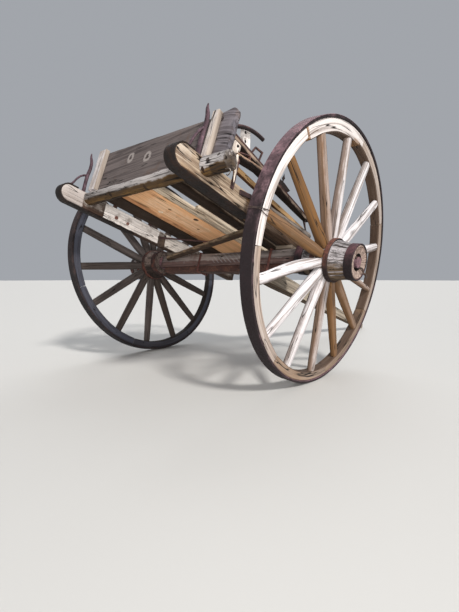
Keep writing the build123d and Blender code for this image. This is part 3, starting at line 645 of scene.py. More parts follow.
LOG_SPOTS = tuple(
    Spot((across, -0.8, height), radius, 0.0, colour, 1)
    for across, height, radius, colour in (
        (0.425, 0.130, 0.008, (48, 38, 30)),
        (0.330, 0.160, 0.006, (58, 46, 36)),
        (0.185, 0.125, 0.010, (44, 32, 22)),
        (-0.131, 0.117, 0.012, (52, 36, 22)),
        (-0.425, 0.132, 0.008, (46, 32, 22)),
        (-0.592, 0.152, 0.011, (70, 62, 58)),
        (-0.650, 0.165, 0.009, (60, 54, 52)),
        (-0.560, 0.122, 0.010, (46, 32, 22)),
    )
)
BOARD_SPOTS = (
    Spot((0.151, -0.751, 0.362), 0.034, 0.015, (140, 132, 128), 1),
    Spot((-0.025, -0.752, 0.328), 0.036, 0.016, (140, 132, 128), 1),
    Spot((0.151, -0.751, 0.362), 0.009, 0.0, (60, 52, 48), 1),
    Spot((-0.025, -0.752, 0.328), 0.010, 0.0, (60, 52, 48), 1),
    Spot((-0.564, -0.745, 0.379), 0.011, 0.0, (52, 44, 44), 1),
)
BOARD_ENDS = (
    Zone((-0.70, -0.9, 0.0), (-0.565, -0.6, 0.6), (112, 108, 116), 0.6, 0.008),
    Zone((-0.70, -0.9, 0.365), (-0.643, -0.6, 0.6), (92, 78, 72), 0.5, 0.008),
    Zone((-0.70, -0.9, 0.15), (-0.640, -0.6, 0.345), (72, 71, 78), 0.6, 0.010),
)
# Painted sunlight on the left sill: two bright stretches on its inner face, where sun falls under the
# floor, and a paler rear end beyond the log.
PAINTED_SUN_PATCHES = (
    Zone((-0.654, 0.470, 0.02), (-0.213, 0.4785, 0.25), (250, 244, 240), 1.0, 0.002),
    Zone((-0.150, 0.470, 0.02), (0.100, 0.4785, 0.25), (246, 238, 230), 1.0, 0.002),
    Zone((-1.0, 0.46, 0.0), (-0.800, 0.56, 0.3), (178, 169, 164), 0.85, 0.005),
)
# Painted shade: near-black discs for the insides of bolt holes that are not cut into the block.
BLOCK_HOLES = (
    Spot((0.347, -0.603, -0.545), 0.008, 0.0, (16, 12, 12), 2),
    Spot((0.326, -0.596, -0.545), 0.003, 0.0, (40, 30, 28), 2)
)
# Painted shade: near-black discs for the insides of bolt holes that are not cut into the post.
POST_HOLES = (
    Spot((0.464, -0.541, -0.5), 0.008, 0.0, (16, 12, 12), 2),
    Spot((0.424, -0.530, -0.5), 0.008, 0.0, (16, 12, 12), 2)
)
WOODS = {
    "rear_log": Wood(
        "grey_log", (160, 154, 152), (104, 78, 44), (44, 36, 32), Grain.ACROSS, cracks=1.2, crack_scale=38,
        fibre=0.8, shelter=(-0.14, 0.16), stained=0.8, stain=(46, 31, 20), sky=(-0.25, -0.05, 1.0),
        relief=0.004, spots=LOG_SPOTS,
        zones=(
            Zone((-0.48, -0.9, 0.117), (0.47, -0.6, 0.131), (58, 42, 28), 0.65, 0.006),
            Zone((-0.69, -0.9, 0.132), (-0.48, -0.6, 0.20), (178, 174, 174), 0.75, 0.010),
            # Painted shadow: this zone darkens the underside of the log's right end.
            Zone((-0.72, -0.9, 0.0), (-0.60, -0.6, 0.128), (46, 34, 24), 0.8, 0.008),
            Zone((-0.73, -0.9, 0.0), (-0.690, -0.6, 0.25), (66, 58, 50), 0.85, 0.004)
        ),
    ),
    "tailboard": Wood(
        "weathered_board", (97, 88, 86), (76, 66, 61), (46, 39, 39), Grain.ACROSS, cracks=0.7,
        crack_scale=26, fibre=0.6, sky=(-1, -0.2, 0.3), stained=0.7, stain=(92, 70, 56), spots=BOARD_SPOTS,
        relief=0.002, zones=BOARD_ENDS, arc=(-0.545, 2.2),
    ),
    # Painted light: the battens' faces turned to the key light take the darker colour and their other faces
    # a paler colour, evening out how the lamp lights them.
    "tailboard_battens": Wood(
        "bleached_batten", (158, 147, 137), (214, 206, 204), (110, 94, 84), Grain.UPRIGHT, cracks=0.6,
        sky=(0.1, -1.0, 0.3), shade=(238, 232, 234), stained=0.12, fibre=0.5, crack_scale=18
    ),
    "side_sill_left": Wood(
        "bleached_sill", (206, 196, 188), (66, 50, 42), (96, 80, 70), Grain.ALONG, cracks=0.8, stained=0.2,
        shelter=(0.1, 0.6), sky=(-0.5, -0.2, 0.8), zones=PAINTED_SUN_PATCHES, relief=0.002, fibre=0.3
    ),
    "side_sill_right": Wood(
        "tan_sill", (158, 141, 122), (54, 38, 28), (84, 62, 46), Grain.ALONG, cracks=1.3, crack_scale=34,
        stained=0.65, stain=(146, 108, 68), shelter=(-0.15, 0.3), relief=0.0035, fibre=0.75,
        zones=(
            # Painted shadow: this zone darkens the outer face forward of the rear, where the right wheel's
            # shadow falls.
            Zone((-0.47, -0.56, 0.0), (0.7, -0.53, 0.3), (66, 52, 43), 0.9, 0.012),
            Zone((-0.95, -0.475, 0.0), (0.7, -0.46, 0.3), (70, 50, 36), 0.7, 0.01),
            Zone((-0.93, -0.56, 0.115), (-0.86, -0.53, 0.2), (182, 172, 160), 0.6, 0.012),
            Zone((-0.90, -0.56, 0.0), (-0.80, -0.53, 0.095), (146, 104, 60), 0.35, 0.014)
        ),
    ),
    # Its underside colour is partly the plank's own orange and partly painted warm light bounced up from
    # below.
    "floor_plank_wide": Wood(
        "tan_plank", (160, 146, 128), (242, 188, 140), (158, 104, 64), Grain.ALONG, cracks=0.35,
        crack_scale=12, shelter=(0.3, 0.8), fibre=0.35, stained=0.7, stain=(186, 116, 66),
        zones=(
            Zone((-0.58, 0.05, 0.18), (-0.10, 0.20, 0.2), (250, 218, 184), 0.75, 0.02),
            Zone((-0.75, 0.24, 0.18), (0.1, 0.32, 0.2), (170, 106, 62), 0.7, 0.012)
        ),
        spots=(
            Spot((-0.276, 0.034, 0.189), 0.020, 0.0, (72, 50, 44)),
            Spot((-0.44, 0.10, 0.189), 0.012, 0.0, (128, 84, 48)),
            Spot((-0.43, 0.20, 0.189), 0.016, 0.009, (240, 226, 208)),
            Spot((-0.15, 0.14, 0.189), 0.010, 0.0, (120, 76, 44))
        ),
    ),
    "floor_strip": Wood(
        "pale_strip", (196, 182, 162), (226, 208, 184), (122, 94, 70), Grain.ALONG, cracks=0.7, fibre=0.7,
        crack_scale=20
    ),
    # Its near-black underside colour is partly the wood's own dark tone and partly painted shade under the
    # floor.
    "floor_plank": Wood(
        "dark_wood", (118, 104, 88), (50, 36, 26), (24, 17, 12), Grain.ALONG, cracks=0.6,
        shelter=(0.3, 0.8), stained=0.4, stain=(82, 54, 32)
    ),
    "cross_members": Wood("dark_beam", (104, 90, 74), (50, 37, 27), (30, 22, 16), Grain.ACROSS, cracks=0.6),
    "axle_timber": Wood(
        "axle_wood", (130, 120, 116), (74, 56, 50), (36, 29, 27), Grain.ACROSS, cracks=1.2, crack_scale=32,
        stained=0.4, stain=(84, 50, 44), sky=(-0.7, -0.1, 0.7), shelter=(-0.5, 0.4), relief=0.003,
        zones=(
            Zone((-0.62, -0.05, -0.03), (0.62, 0.05, 0.008), (80, 49, 44), 0.75, 0.005),
            # Painted sunlight: this zone lays slanted bands of light on the axle's rear face, as sun falls
            # between the spokes.
            Zone((-0.20, -0.05, -0.012), (0.06, -0.04, 0.050), (160, 156, 156), 0.55, 0.004, 170.0),
        ),
    ),
    "bolster_blocks": Wood("block_wood", (116, 104, 92), (66, 50, 42), (34, 26, 21), Grain.ACROSS),
    "pole": Wood(
        "grey_pole", (158, 146, 130), (92, 74, 56), (54, 42, 32), Grain.ALONG, cracks=0.9, relief=0.0024
    ),
    "loose_pole": Wood(
        "grey_round", (142, 132, 124), (74, 60, 50), (46, 37, 31), Grain.ALONG, cracks=0.9, fibre=0.8,
        shelter=(0.0, 0.6)
    ),
    "cross_pole": Wood(
        "dark_round", (132, 112, 90), (64, 48, 36), (32, 24, 18), Grain.ACROSS, cracks=0.9, fibre=0.7,
        sky=(-0.4, -0.2, 0.85), shelter=(0.0, 0.7), relief=0.003
    ),
    "upper_rail": Wood(
        "grey_rail", (150, 130, 114), (36, 27, 24), (26, 20, 18), Grain.ALONG, cracks=0.7,
        shelter=(0.35, 0.75)
    ),
    "lower_rail": Wood(
        "golden_rail", (184, 148, 104), (88, 60, 38), (52, 37, 26), Grain.ALONG, cracks=0.9,
        shelter=(-0.1, 0.5), stained=0.4, stain=(66, 46, 30), fibre=0.7
    ),
    "rave_board": Wood(
        "rave_wood", (150, 124, 104), (36, 27, 24), (24, 18, 16), Grain.ALONG, cracks=0.6,
        shelter=(0.3, 0.75)
    ),
    "rear_stake": Wood(
        "stake_wood", (226, 214, 200), (96, 74, 60), (84, 64, 52), Grain.UPRIGHT, cracks=1.1, stained=0.3,
        sky=(0.6, -1.0, 0.2), shelter=(-0.2, 0.3),
        # Painted shadow: this zone darkens the stake's foot below the sill's top, for the shadow it casts
        # on the sill.
        zones=(Zone((0.10, -0.7, -0.7), (0.160, -0.5, -0.5), (22, 17, 16), 0.95, 0.004),)
    ),
    "rail_block": Wood(
        "block_pale", (214, 204, 194), (156, 138, 118), (92, 76, 62), Grain.UPRIGHT, cracks=0.7,
        stained=0.3, spots=BLOCK_HOLES
    ),
    "rail_post": Wood(
        "post_pale", (218, 212, 208), (162, 146, 130), (92, 76, 62), Grain.UPRIGHT, cracks=0.7, stained=0.3,
        spots=POST_HOLES
    ),
}
FELLOE_TONES = (0.55, 0.15, 0.0, 0.6, 0.7, 0.75, 0.6)
# Spokes 9 to 13, low on the wheel, are toned darker partly as painted shade; the other tones are each
# spoke's own colour.
SPOKE_TONES = (0.0, 0.0, 0.03, 0.26, 0.62, 1.0, 0.92, 0.0, 0.0, 0.2, 0.5, 0.85, 0.8, 0.6)
FELLOE_BREAKS = (
    Zone((3.968, 0.0, -1.0), (3.992, 5.0, 1.0), (128, 88, 48), 0.85, 0.005),
    Zone((3.895, 4.3315, -1.0), (3.984, 4.3355, 1.0), (70, 46, 28), 0.95, 0.0008),
    Zone((3.44, 4.3, -1.0), (3.52, 4.328, 1.0), (150, 108, 66), 0.6, 0.004),
)
WHEEL_SKY = (0.45, -0.45, 0.75)
NAVE_FACE = Wood(
    "nave_face", (152, 134, 124), (114, 92, 82), (66, 50, 44), Grain.AXLE, cracks=0.5, crack_scale=40,
    fibre=0.5, stained=0.3, stain=(140, 112, 92), shelter=(-0.6, 0.25), sky=(0.3, -0.2, 1.0), relief=0.002
)
WHEEL_WOODS = {
    # On the right wheel, the grey colours for faces turned from the light are painted shade.
    "right": {
        "felloes": Wood(
            "bleached_felloe", (210, 203, 200), (122, 96, 70), (96, 80, 70), Grain.RIM, cracks=0.7,
            crack_scale=26, stained=0.3, stain=(160, 130, 100), shelter=(-0.5, 0.05), sky=(0.0, -0.85, 0.5),
            shade=(136, 120, 108), tones=FELLOE_TONES, fibre=0.6, inner=(80, 63, 52), zones=FELLOE_BREAKS
        ),
        "spokes": Wood(
            "bleached_spoke", (210, 206, 208), (112, 79, 45), (84, 64, 46), Grain.SPOKE, cracks=0.8,
            crack_scale=22, stained=0.35, stain=(104, 86, 66), shelter=(-0.25, 0.4), sky=WHEEL_SKY,
            shade=(132, 122, 120), tones=SPOKE_TONES, fibre=0.7
        ),
        "nave": Wood(
            "cracked_nave", (156, 151, 153), (100, 84, 68), (38, 32, 28), Grain.AXLE, cracks=1.5,
            crack_scale=66, fibre=0.8, stained=0.2, shelter=(-0.3, 0.15), sky=(-0.1, -0.1, 1.0),
            relief=0.004
        ),
    },
    # Painted shadow: on the left wheel, the dark colours for faces turned inward, the darker tones and the
    # hub-facing colour stand for the shadow the cart casts on it; faces turned outward keep a paler
    # weathered colour, and so does the nave's outer end.
    "left": {
        "felloes": Wood(
            "dark_felloe", (168, 160, 154), (50, 48, 52), (40, 36, 36), Grain.RIM, cracks=0.7,
            crack_scale=30, stained=0.35, stain=(74, 60, 52), shelter=(-0.3, 0.4), sky=(0.0, 1.0, 0.2),
            shade=(68, 70, 81), tones=(0.3, 0.5, 0.25, 0.1, 0.35, 0.2, 0.4), inner=(40, 33, 29)
        ),
        "spokes": Wood(
            "dark_spoke", (168, 160, 154), (62, 52, 46), (40, 33, 30), Grain.SPOKE, cracks=0.7,
            stained=0.35, stain=(62, 44, 34), shelter=(-0.1, 0.5), sky=(0.0, 1.0, 0.2), shade=(80, 73, 71),
            tones=(0.4, 0.6, 0.5, 0.7, 0.3, 0.5, 0.2, 0.35, 0.3, 0.2, 0.4, 0.5, 0.6, 0.5)
        ),
        "nave": Wood(
            "dark_nave", (104, 90, 84), (52, 41, 37), (28, 22, 20), Grain.AXLE, cracks=1.3, crack_scale=60,
            fibre=0.8, stained=0.4, stain=(70, 44, 36), shelter=(-0.4, 0.3), sky=(-0.1, -0.1, 1.0),
            relief=0.004, zones=(Zone((0.03, -1.0, -1.0), (0.2, 1.0, 1.0), (150, 142, 138), 0.8, 0.006),)
        ),
    },
}
# Painted shade: the right tyre, the right bands, the forked irons and the bent bar take a dark colour on
# faces turned from the light; the left tyre and left bands are darkened for the shadow the cart casts on
# the left wheel; the sill shoes' near-black is partly their own iron and partly painted shade under the
# sills.
IRONS = {
    "tyre_right": Iron(
        "rusty_tyre", (104, 80, 86), (128, 100, 106), (60, 44, 50), painted_shade=(20, 11, 14), sky=(0.22, -0.1, 1.0),
        shelter=(-0.08, 0.6)
    ),
    "tyre_left": Iron("dark_tyre", (44, 34, 36), (62, 47, 46), (28, 22, 24), painted_shade=(18, 14, 15)),
    "spoke_bands_right": Iron(
        "spoke_band", (104, 66, 56), (136, 90, 74), (48, 32, 30), painted_shade=(24, 15, 15), sky=(-0.4, 0.1, 1.0),
        shelter=(-0.05, 0.85)
    ),
    "spoke_bands_left": Iron("dark_spoke_band", (58, 40, 38), (96, 58, 48), (30, 22, 22)),
    "nave_bands_right": Iron(
        "rusty_band", (72, 48, 54), (98, 66, 70), (36, 26, 30), painted_shade=(19, 12, 15), sky=(-0.1, 0.1, 1.0),
        shelter=(-0.05, 0.85)
    ),
    "nave_bands_left": Iron("dark_band", (52, 38, 36), (92, 56, 46), (28, 21, 21)),
    "axle_box": Iron("axle_iron", (24, 18, 18), (40, 29, 26), (14, 11, 11)),
    "axle_arm": Iron("arm_iron", (112, 84, 92), (130, 96, 96), (52, 38, 42)),
    "linchpin": Iron("pin_iron", (70, 58, 54), (84, 66, 58), (36, 29, 28)),
    "axle_underbar": Iron("bar_iron", (76, 52, 46), (98, 67, 56), (38, 27, 24)),
    "axle_clips": Iron("clip_iron", (84, 50, 45), (112, 68, 58), (48, 31, 29)),
    "sill_shoe": Iron("shoe_iron", (24, 16, 13), (42, 27, 20), (12, 8, 7), 0.001, worn=0.12),
    "sill_bolts": Iron("bolt_iron", (122, 84, 76), (142, 100, 88), (76, 52, 48)),
    "cleat_plate": Iron("plate_iron", (78, 66, 58), (98, 82, 70), (42, 34, 30)),
    "forked_iron": Iron(
        "fork_iron", (66, 48, 55), (94, 72, 81), (36, 27, 31), painted_shade=(30, 20, 24), sky=(-0.1, -0.8, 0.5),
        shelter=(-0.45, 0.2)
    ),
    "bent_bar": Iron("bar_dark", (62, 44, 46), (84, 60, 58), (34, 25, 27), painted_shade=(30, 22, 24)),
    "rail_bracket": Iron("bracket_iron", (36, 29, 28), (56, 42, 38), (20, 17, 17)),
    "": Iron("rusty_iron", (70, 50, 50), (98, 68, 62), (38, 28, 28)),
}
WIRE = Iron("old_wire", (66, 56, 54), (92, 74, 66), (36, 30, 30), 0.0002)


# Modelling helpers


def pick(obj: Piece) -> None:
    """Select only this object and make it active.

    Args:
        obj: The object.
    """
    bpy.ops.object.select_all(action="DESELECT")
    obj.select_set(True)
    bpy.context.view_layer.objects.active = obj


@contextmanager
def editing(select: str = "SELECT") -> Iterator[None]:
    """Edit the active piece's mesh.

    Args:
        select: "SELECT" to start with all of it, "DESELECT" with none, or "" with what is selected.
    """
    bpy.ops.object.mode_set(mode="EDIT")
    if select:
        bpy.ops.mesh.select_all(action=select)
    yield
    bpy.ops.object.mode_set(mode="OBJECT")


def slice_across(axis: int, places: Iterable[float]) -> None:
    """Cut the mesh that is being edited across an axis.

    Args:
        axis: 0, 1 or 2 for x, y or z.
        places: Where it is cut, along that axis.
    """
    normal = [float(index == axis) for index in range(3)]
    for place in places:
        bpy.ops.mesh.select_all(action="SELECT")
        bpy.ops.mesh.bisect(plane_co=[place * share for share in normal], plane_no=normal)


def add_cylinder(name: str, sides: int, radius: float, depth: float) -> Piece:
    """Add an upright cylinder at the origin.

    Args:
        name: Its name.
        sides: Number of its sides.
        radius: Its radius.
        depth: Its height.

    Returns:
        The cylinder.
    """
    bpy.ops.mesh.primitive_cylinder_add(
        vertices=sides, radius=radius, depth=depth, end_fill_type="NGON", location=(0, 0, 0)
    )
    bpy.context.object.name = name
    return bpy.context.object


def cad_copy(node: str, bed: BedFrame, bevel: float = 0.0) -> Piece:
    """Copy a CAD piece's mesh into the bed's frame, merged and with its flat faces whole.

    Args:
        node: The CAD piece.
        bed: The bed's frame.
        bevel: How far its sharp edges are cut back.

    Returns:
        The copy, which is selected.
    """
    obj = bpy.data.objects.new(f"{node}_worn", bpy.data.objects[node].data.copy())
    bpy.context.scene.collection.objects.link(obj)
    obj.data.transform(bed.matrix.inverted())
    pick(obj)
    with editing(""):
        bpy.ops.mesh.select_mode(type="EDGE")
        bpy.ops.mesh.select_all(action="SELECT")
        bpy.ops.mesh.remove_doubles(threshold=MERGE)
        bpy.ops.mesh.dissolve_limited(angle_limit=math.radians(FLAT_ANGLE))
        if bevel:
            bpy.ops.mesh.select_all(action="DESELECT")
            bpy.ops.mesh.edges_select_sharp(sharpness=math.radians(SHARP_ANGLE))
            bpy.ops.mesh.bevel(
                offset=bevel, offset_type="OFFSET", segments=2, affect="EDGES", clamp_overlap=True
            )
    return obj


def merge(parts: list[Piece], name: str) -> Piece:
    """Join parts into one object.

    Args:
        parts: The parts, of which the first stays.
        name: The joined object's name.

    Returns:
        The joined object.
    """
    bpy.ops.object.select_all(action="DESELECT")
    for part in parts:
        part.select_set(True)
    bpy.context.view_layer.objects.active = parts[0]
    bpy.ops.object.join()
    parts[0].name = name
    return parts[0]


def modify(obj: Piece, kind: str, **settings: object) -> None:
    """Add a modifier and apply it.

    Args:
        obj: The piece.
        kind: The modifier's type.
        settings: Its settings.
    """
    pick(obj)
    modifier = obj.modifiers.new(kind.lower(), kind)
    for key, value in settings.items():
        setattr(modifier, key, value)
    bpy.ops.object.modifier_apply(modifier=modifier.name)


def settle(obj: Piece, matrix: Matrix) -> None:
    """Put a mesh that was made in a sub-frame into the row frame, with its object at the origin.

    Args:
        obj: The piece.
        matrix: Matrix from the sub-frame to the row frame.
    """
    obj.data.transform(matrix @ obj.matrix_world)
    obj.matrix_world = Matrix.Identity(4)


def close_up(obj: Piece, angle: float = SHARP_ANGLE) -> None:
    """Turn the faces outward and shade the piece smooth between its sharp edges.

    Args:
        obj: The piece.
        angle: Edges sharper than this stay sharp, in degrees.
    """
    pick(obj)
    with editing():
        bpy.ops.mesh.normals_make_consistent(inside=False)
    bpy.ops.object.shade_smooth_by_angle(angle=math.radians(angle))


def take(obj: Piece, body: str, material: Material, slot: str, *nodes: str) -> Piece:
    """Give a finished piece its body and material, and hide what it stands for.

    Args:
        obj: The finished piece.
        body: CAD body that it moves with.
        material: Its finish.
        slot: Not used.
        nodes: CAD nodes that it stands for.

    Returns:
        The piece.
    """
    obj.data.materials.clear()
    obj.data.materials.append(material)
    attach(obj, body)
    if nodes:
        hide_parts(*nodes)
    LOG.info("piece %s: %d faces on %s", obj.name, len(obj.data.polygons), body)
    return obj


def polar(place: Vector) -> Pair:
    """Distance from the z axis, and the angle round it."""
    return place.xy.length, math.atan2(place.y, place.x)


def around(reach: float, angle: float, height: float) -> Triple:
    """The place at a distance from the z axis, an angle round it and a height."""
    return reach * math.cos(angle), reach * math.sin(angle), height


def ripple(place: Vector, scale: Triple, seed: float) -> float:
    """Smooth noise from -1 to 1 at a place, with its own scale on each axis."""
    shift = (seed, -seed, 2 * seed)
    return noise.noise(Vector([place[i] * scale[i] + shift[i] for i in range(3)]))


CROSS_GAP = 0.6
WAVES_ALONG = 6.0
WAVES_ACROSS = 28.0
CHIPS_ALONG = 22.0
CHIPS_ACROSS = 60.0


@dataclass
class WornTimber:
    """A copy of a CAD timber with rounded, chipped edges and a slightly uneven surface."""

    node: str
    spacing: float
    bevel: float
    warp: float
    chips: float
    along: int
    seed: float

    def build(self, bed: BedFrame) -> Piece:
        """Make the worn copy.

        Args:
            bed: The bed's frame, in which the timber is worked.

        Returns:
            The piece, in the row frame.
        """
        obj = cad_copy(self.node, bed, self.bevel)
        corners = [Vector(c) for c in obj.bound_box]
        with editing(""):
            for axis in range(3):
                low = min(c[axis] for c in corners)
                size = max(c[axis] for c in corners) - low
                gap = self.spacing if axis == self.along else self.spacing * CROSS_GAP
                count = int(size / gap)
                slice_across(axis, (low + cut * size / count for cut in range(1, count)))
        self.wear(obj)
        settle(obj, bed.matrix)
        close_up(obj)
        return obj

    def wear(self, obj: Piece) -> None:
        """Move the points in by noise, most along the edges.

        Args:
            obj: The timber, in the bed's frame.
        """
        stretch = [WAVES_ALONG if axis == self.along else WAVES_ACROSS for axis in range(3)]
        fine = [CHIPS_ALONG if axis == self.along else CHIPS_ACROSS for axis in range(3)]
        moves = []
        for vertex in obj.data.vertices:
            normal = vertex.normal
            edge = 1 - max(abs(normal.x), abs(normal.y), abs(normal.z))
            wave = ripple(vertex.co, stretch, self.seed)
            chip = max(0.0, ripple(vertex.co, fine, self.seed + 9) + 0.1)
            moves.append(normal * (self.warp * (wave - 0.6) - edge * chip * self.chips))
        for vertex, move in zip(obj.data.vertices, moves):
            vertex.co += move


@dataclass
class ForgedBar:
    """A bar, wire or splinter swept along a path, with a round or oval section that can taper."""

    name: str
    path: tuple[Triple, ...]
    thickness: float
    radii: tuple[float, ...] = ()
    widen: float = 1.0
    wave: float = 0.05
    order: int = 3
    seed: float = 1.3

    def build(self, matrix: Matrix) -> Piece:
        """Make the bar.

        Args:
            matrix: Matrix from the frame of the path, which is in millimetres, to the row frame.

        Returns:
            The piece, in the row frame.
        """
        bpy.ops.curve.primitive_nurbs_path_add(location=(0, 0, 0))
        obj = bpy.context.object
        obj.name = self.name
        curve = obj.data
        curve.splines.clear()
        spline = curve.splines.new("NURBS")
        spline.points.add(len(self.path) - 1)
        radii = self.radii or (1.0,) * len(self.path)
        for point, place, radius in zip(spline.points, self.path, radii):
            point.co = (*(c / MM for c in place), 1)
            point.radius = radius
        spline.order_u = min(self.order, len(self.path))
        spline.use_endpoint_u = True
        spline.resolution_u = 8
        curve.dimensions = "3D"
        curve.bevel_depth = self.thickness / 2 / MM
        curve.bevel_resolution = 3
        curve.use_fill_caps = True
        pick(obj)
        bpy.ops.object.convert(target="MESH")
        obj = bpy.context.object
        middle = sum(place[1] for place in self.path) / len(self.path) / MM
        for vertex in obj.data.vertices:
            push = ripple(vertex.co, (55, 55, 55), self.seed) * self.wave * self.thickness / MM
            vertex.co += Vector((push, push / 2, -push))
            if self.widen != 1.0:
                vertex.co.y = middle + (vertex.co.y - middle) * self.widen
        with editing():
            bpy.ops.mesh.remove_doubles(threshold=BAR_MERGE)
        settle(obj, matrix)
        close_up(obj, ROUND_ANGLE)
        return obj


@dataclass
class Wheel:
    """A dished-out wooden wheel: tyre, felloes, spokes and nave, all worn and cracked."""

    frame: WheelFrame
    radius: float = 0.6858
    tyre: float = 0.015
    tread: float = 0.066
    felloe_width: float = 0.058
    felloe_depth: float = 0.050
    bent_spoke: int = 7
    slim_spoke: int = 13
    deep_felloe: int = 1
    deeper_by: float = 0.012
    joint_shift: float = 0.080
    spokes: int = SPOKE_COUNT
    felloes: int = FELLOE_COUNT
    nave_radius: float = 0.108
    nave_end: float = 0.086
    inner_reach: float = 0.150
    outer_reach: float = 0.186
    mouth: float = 0.079
    throat: float = 0.045
    dish: float = 0.009
    mouth_depth: float = 0.045
    spoke_offset: float = 0.010
    band: float = 0.009
    band_width: float = 0.046
    pin_turn: float = 50.0
    seed: float = 3.0
    bore: float = 0.0354
    half_foot: float = 0.022
    stand_off: float = 0.004
    spoke_band: float = 0.027
    seat: float = 0.0003
    joint: float = 0.0035
    tyre_round: float = 0.002
    tyre_worn: float = 0.0006
    tyre_dents: float = 0.0005
    tread_worn: float = 0.012
    felloe_round: float = 0.005
    felloe_slip: float = 0.0012
    felloe_uneven: float = 0.002
    joint_worn: float = 0.004
    joint_worn_run: float = 0.03
    torn_run: float = 0.06
    torn_turn: float = 0.022
    torn_depth: float = 0.008
    spoke_root: float = 0.02
    spoke_tenon: float = 0.006
    spoke_bow: float = 0.002
    spoke_bend: float = 0.012
    spoke_uneven: float = 0.035
    slim_share: float = 0.62
    crack_count: int = 15
    crack_depth: float = 0.006
    end_crack_depth: float = 0.004
    nave_uneven: float = 0.0012
    end_uneven: float = 0.0016
    band_round: float = 0.0022
    band_dents: float = 0.006
    tyre_steps: int = 180
    nave_steps: int = 216
    band_steps: int = 120
    felloe_steps: int = 22
    spoke_rows: int = 26

    @property
    def varied(self) -> bool:
        """Whether this wheel has the bent spoke, the slim spoke and the deep felloe."""
        return self.frame.name == "right"

    @property
    def band_places(self) -> Pair:
        """Where the two bands by the spokes start, out along the axle."""
        rear = self.spoke_offset - self.half_foot - self.stand_off - self.spoke_band
        return rear, self.spoke_offset + self.half_foot + self.stand_off

    def hang(
        self, obj: Piece, kind: str, material: Material, slot: str, angle: float = SHARP_ANGLE
    ) -> None:
        """Put a piece that was made in the wheel's frame on the wheel.

        Args:
            obj: The piece.
            kind: Name of the CAD piece that it stands for, without the side.
            material: Its finish.
            slot: The record's material slot.
            angle: Edges sharper than this stay sharp, in degrees.
        """
        settle(obj, self.frame.matrix)
        close_up(obj, angle)
        take(obj, self.frame.body, material, slot, f"{kind}_{self.frame.name}")

    def spin_profile(
        self, name: str, profile: list[Pair], angle: float, steps: int, start: float = 0.0
    ) -> Piece:
        """Turn a closed profile about the wheel's axis.

        Args:
            name: The piece's name.
            profile: Radius and height out along the axle, corner by corner.
            angle: How far it turns, in radians; a full turn closes on itself.
            steps: Number of steps.
            start: Where it starts, in radians.

        Returns:
            The piece, in the wheel's own frame.
        """
        bpy.ops.mesh.primitive_circle_add(
            vertices=len(profile), radius=0.01, fill_type="NGON", location=(0, 0, 0)
        )
        obj = bpy.context.object
        obj.name = name
        for vertex, (reach, height) in zip(obj.data.vertices, profile):
            vertex.co = around(reach, start, height)
        with editing():
            if math.isclose(angle, math.tau):
                bpy.ops.mesh.delete(type="ONLY_FACE")
                bpy.ops.mesh.select_all(action="SELECT")
            bpy.ops.mesh.spin(
                steps=steps, angle=-angle, center=(0, 0, 0), axis=(0, 0, 1), use_auto_merge=True
            )
            bpy.ops.mesh.select_all(action="SELECT")
            bpy.ops.mesh.remove_doubles(threshold=MERGE)
            bpy.ops.mesh.normals_make_consistent(inside=False)
        return obj

    @staticmethod
    def box_profile(
        inner: float, outer: float, low: float, high: float, round_by: float, rows: int = 1
    ) -> list[Pair]:
        """A rectangle with cut corners, as radius and height pairs, its sides cut into rows.

        Args:
            inner: Its least radius.
            outer: Its greatest radius.
            low: Its least height.
            high: Its greatest height.
            round_by: How far each corner is cut back.
            rows: Number of rows along each side.

        Returns:
            The radius and height pairs.
        """
        points = []
        corners = [(inner, low), (outer, low), (outer, high), (inner, high)]
        for index, (r, h) in enumerate(corners):
            before, after = corners[index - 1], corners[(index + 1) % 4]
            for other in (before, after):
                length = math.hypot(other[0] - r, other[1] - h)
                share = round_by / length
                points.append((r + (other[0] - r) * share, h + (other[1] - h) * share))
            end_share = round_by / math.hypot(after[0] - r, after[1] - h)
            for cut in range(1, rows):
                share = end_share + (1 - 2 * end_share) * cut / rows
                points.append((r + (after[0] - r) * share, h + (after[1] - h) * share))
        return points

    def make_tyre(self, finish: Iron) -> None:
        """Make the iron tyre, with rounded edges and dents.

        Args:
            finish: Its iron.
        """
        half = self.tread / 2
        profile = self.box_profile(self.radius - self.tyre, self.radius, -half, half, self.tyre_round)
        obj = self.spin_profile(f"tyre_{self.frame.name}_worn", profile, math.tau, self.tyre_steps)
        for vertex in obj.data.vertices:
            wave = ripple(vertex.co, (9, 9, 18), self.seed)
            edge = abs(vertex.co.z) / half
            flat = Vector((vertex.co.x, vertex.co.y, 0)).normalized()
            if vertex.co.xy.length > self.radius - self.tyre / 2:
                vertex.co -= flat * (self.tyre_worn + self.tyre_dents * wave)
            vertex.co.z *= 1 - self.tread_worn * max(0, wave) * edge
        self.hang(obj, "tyre", finish.build(), "rusty_tyre")

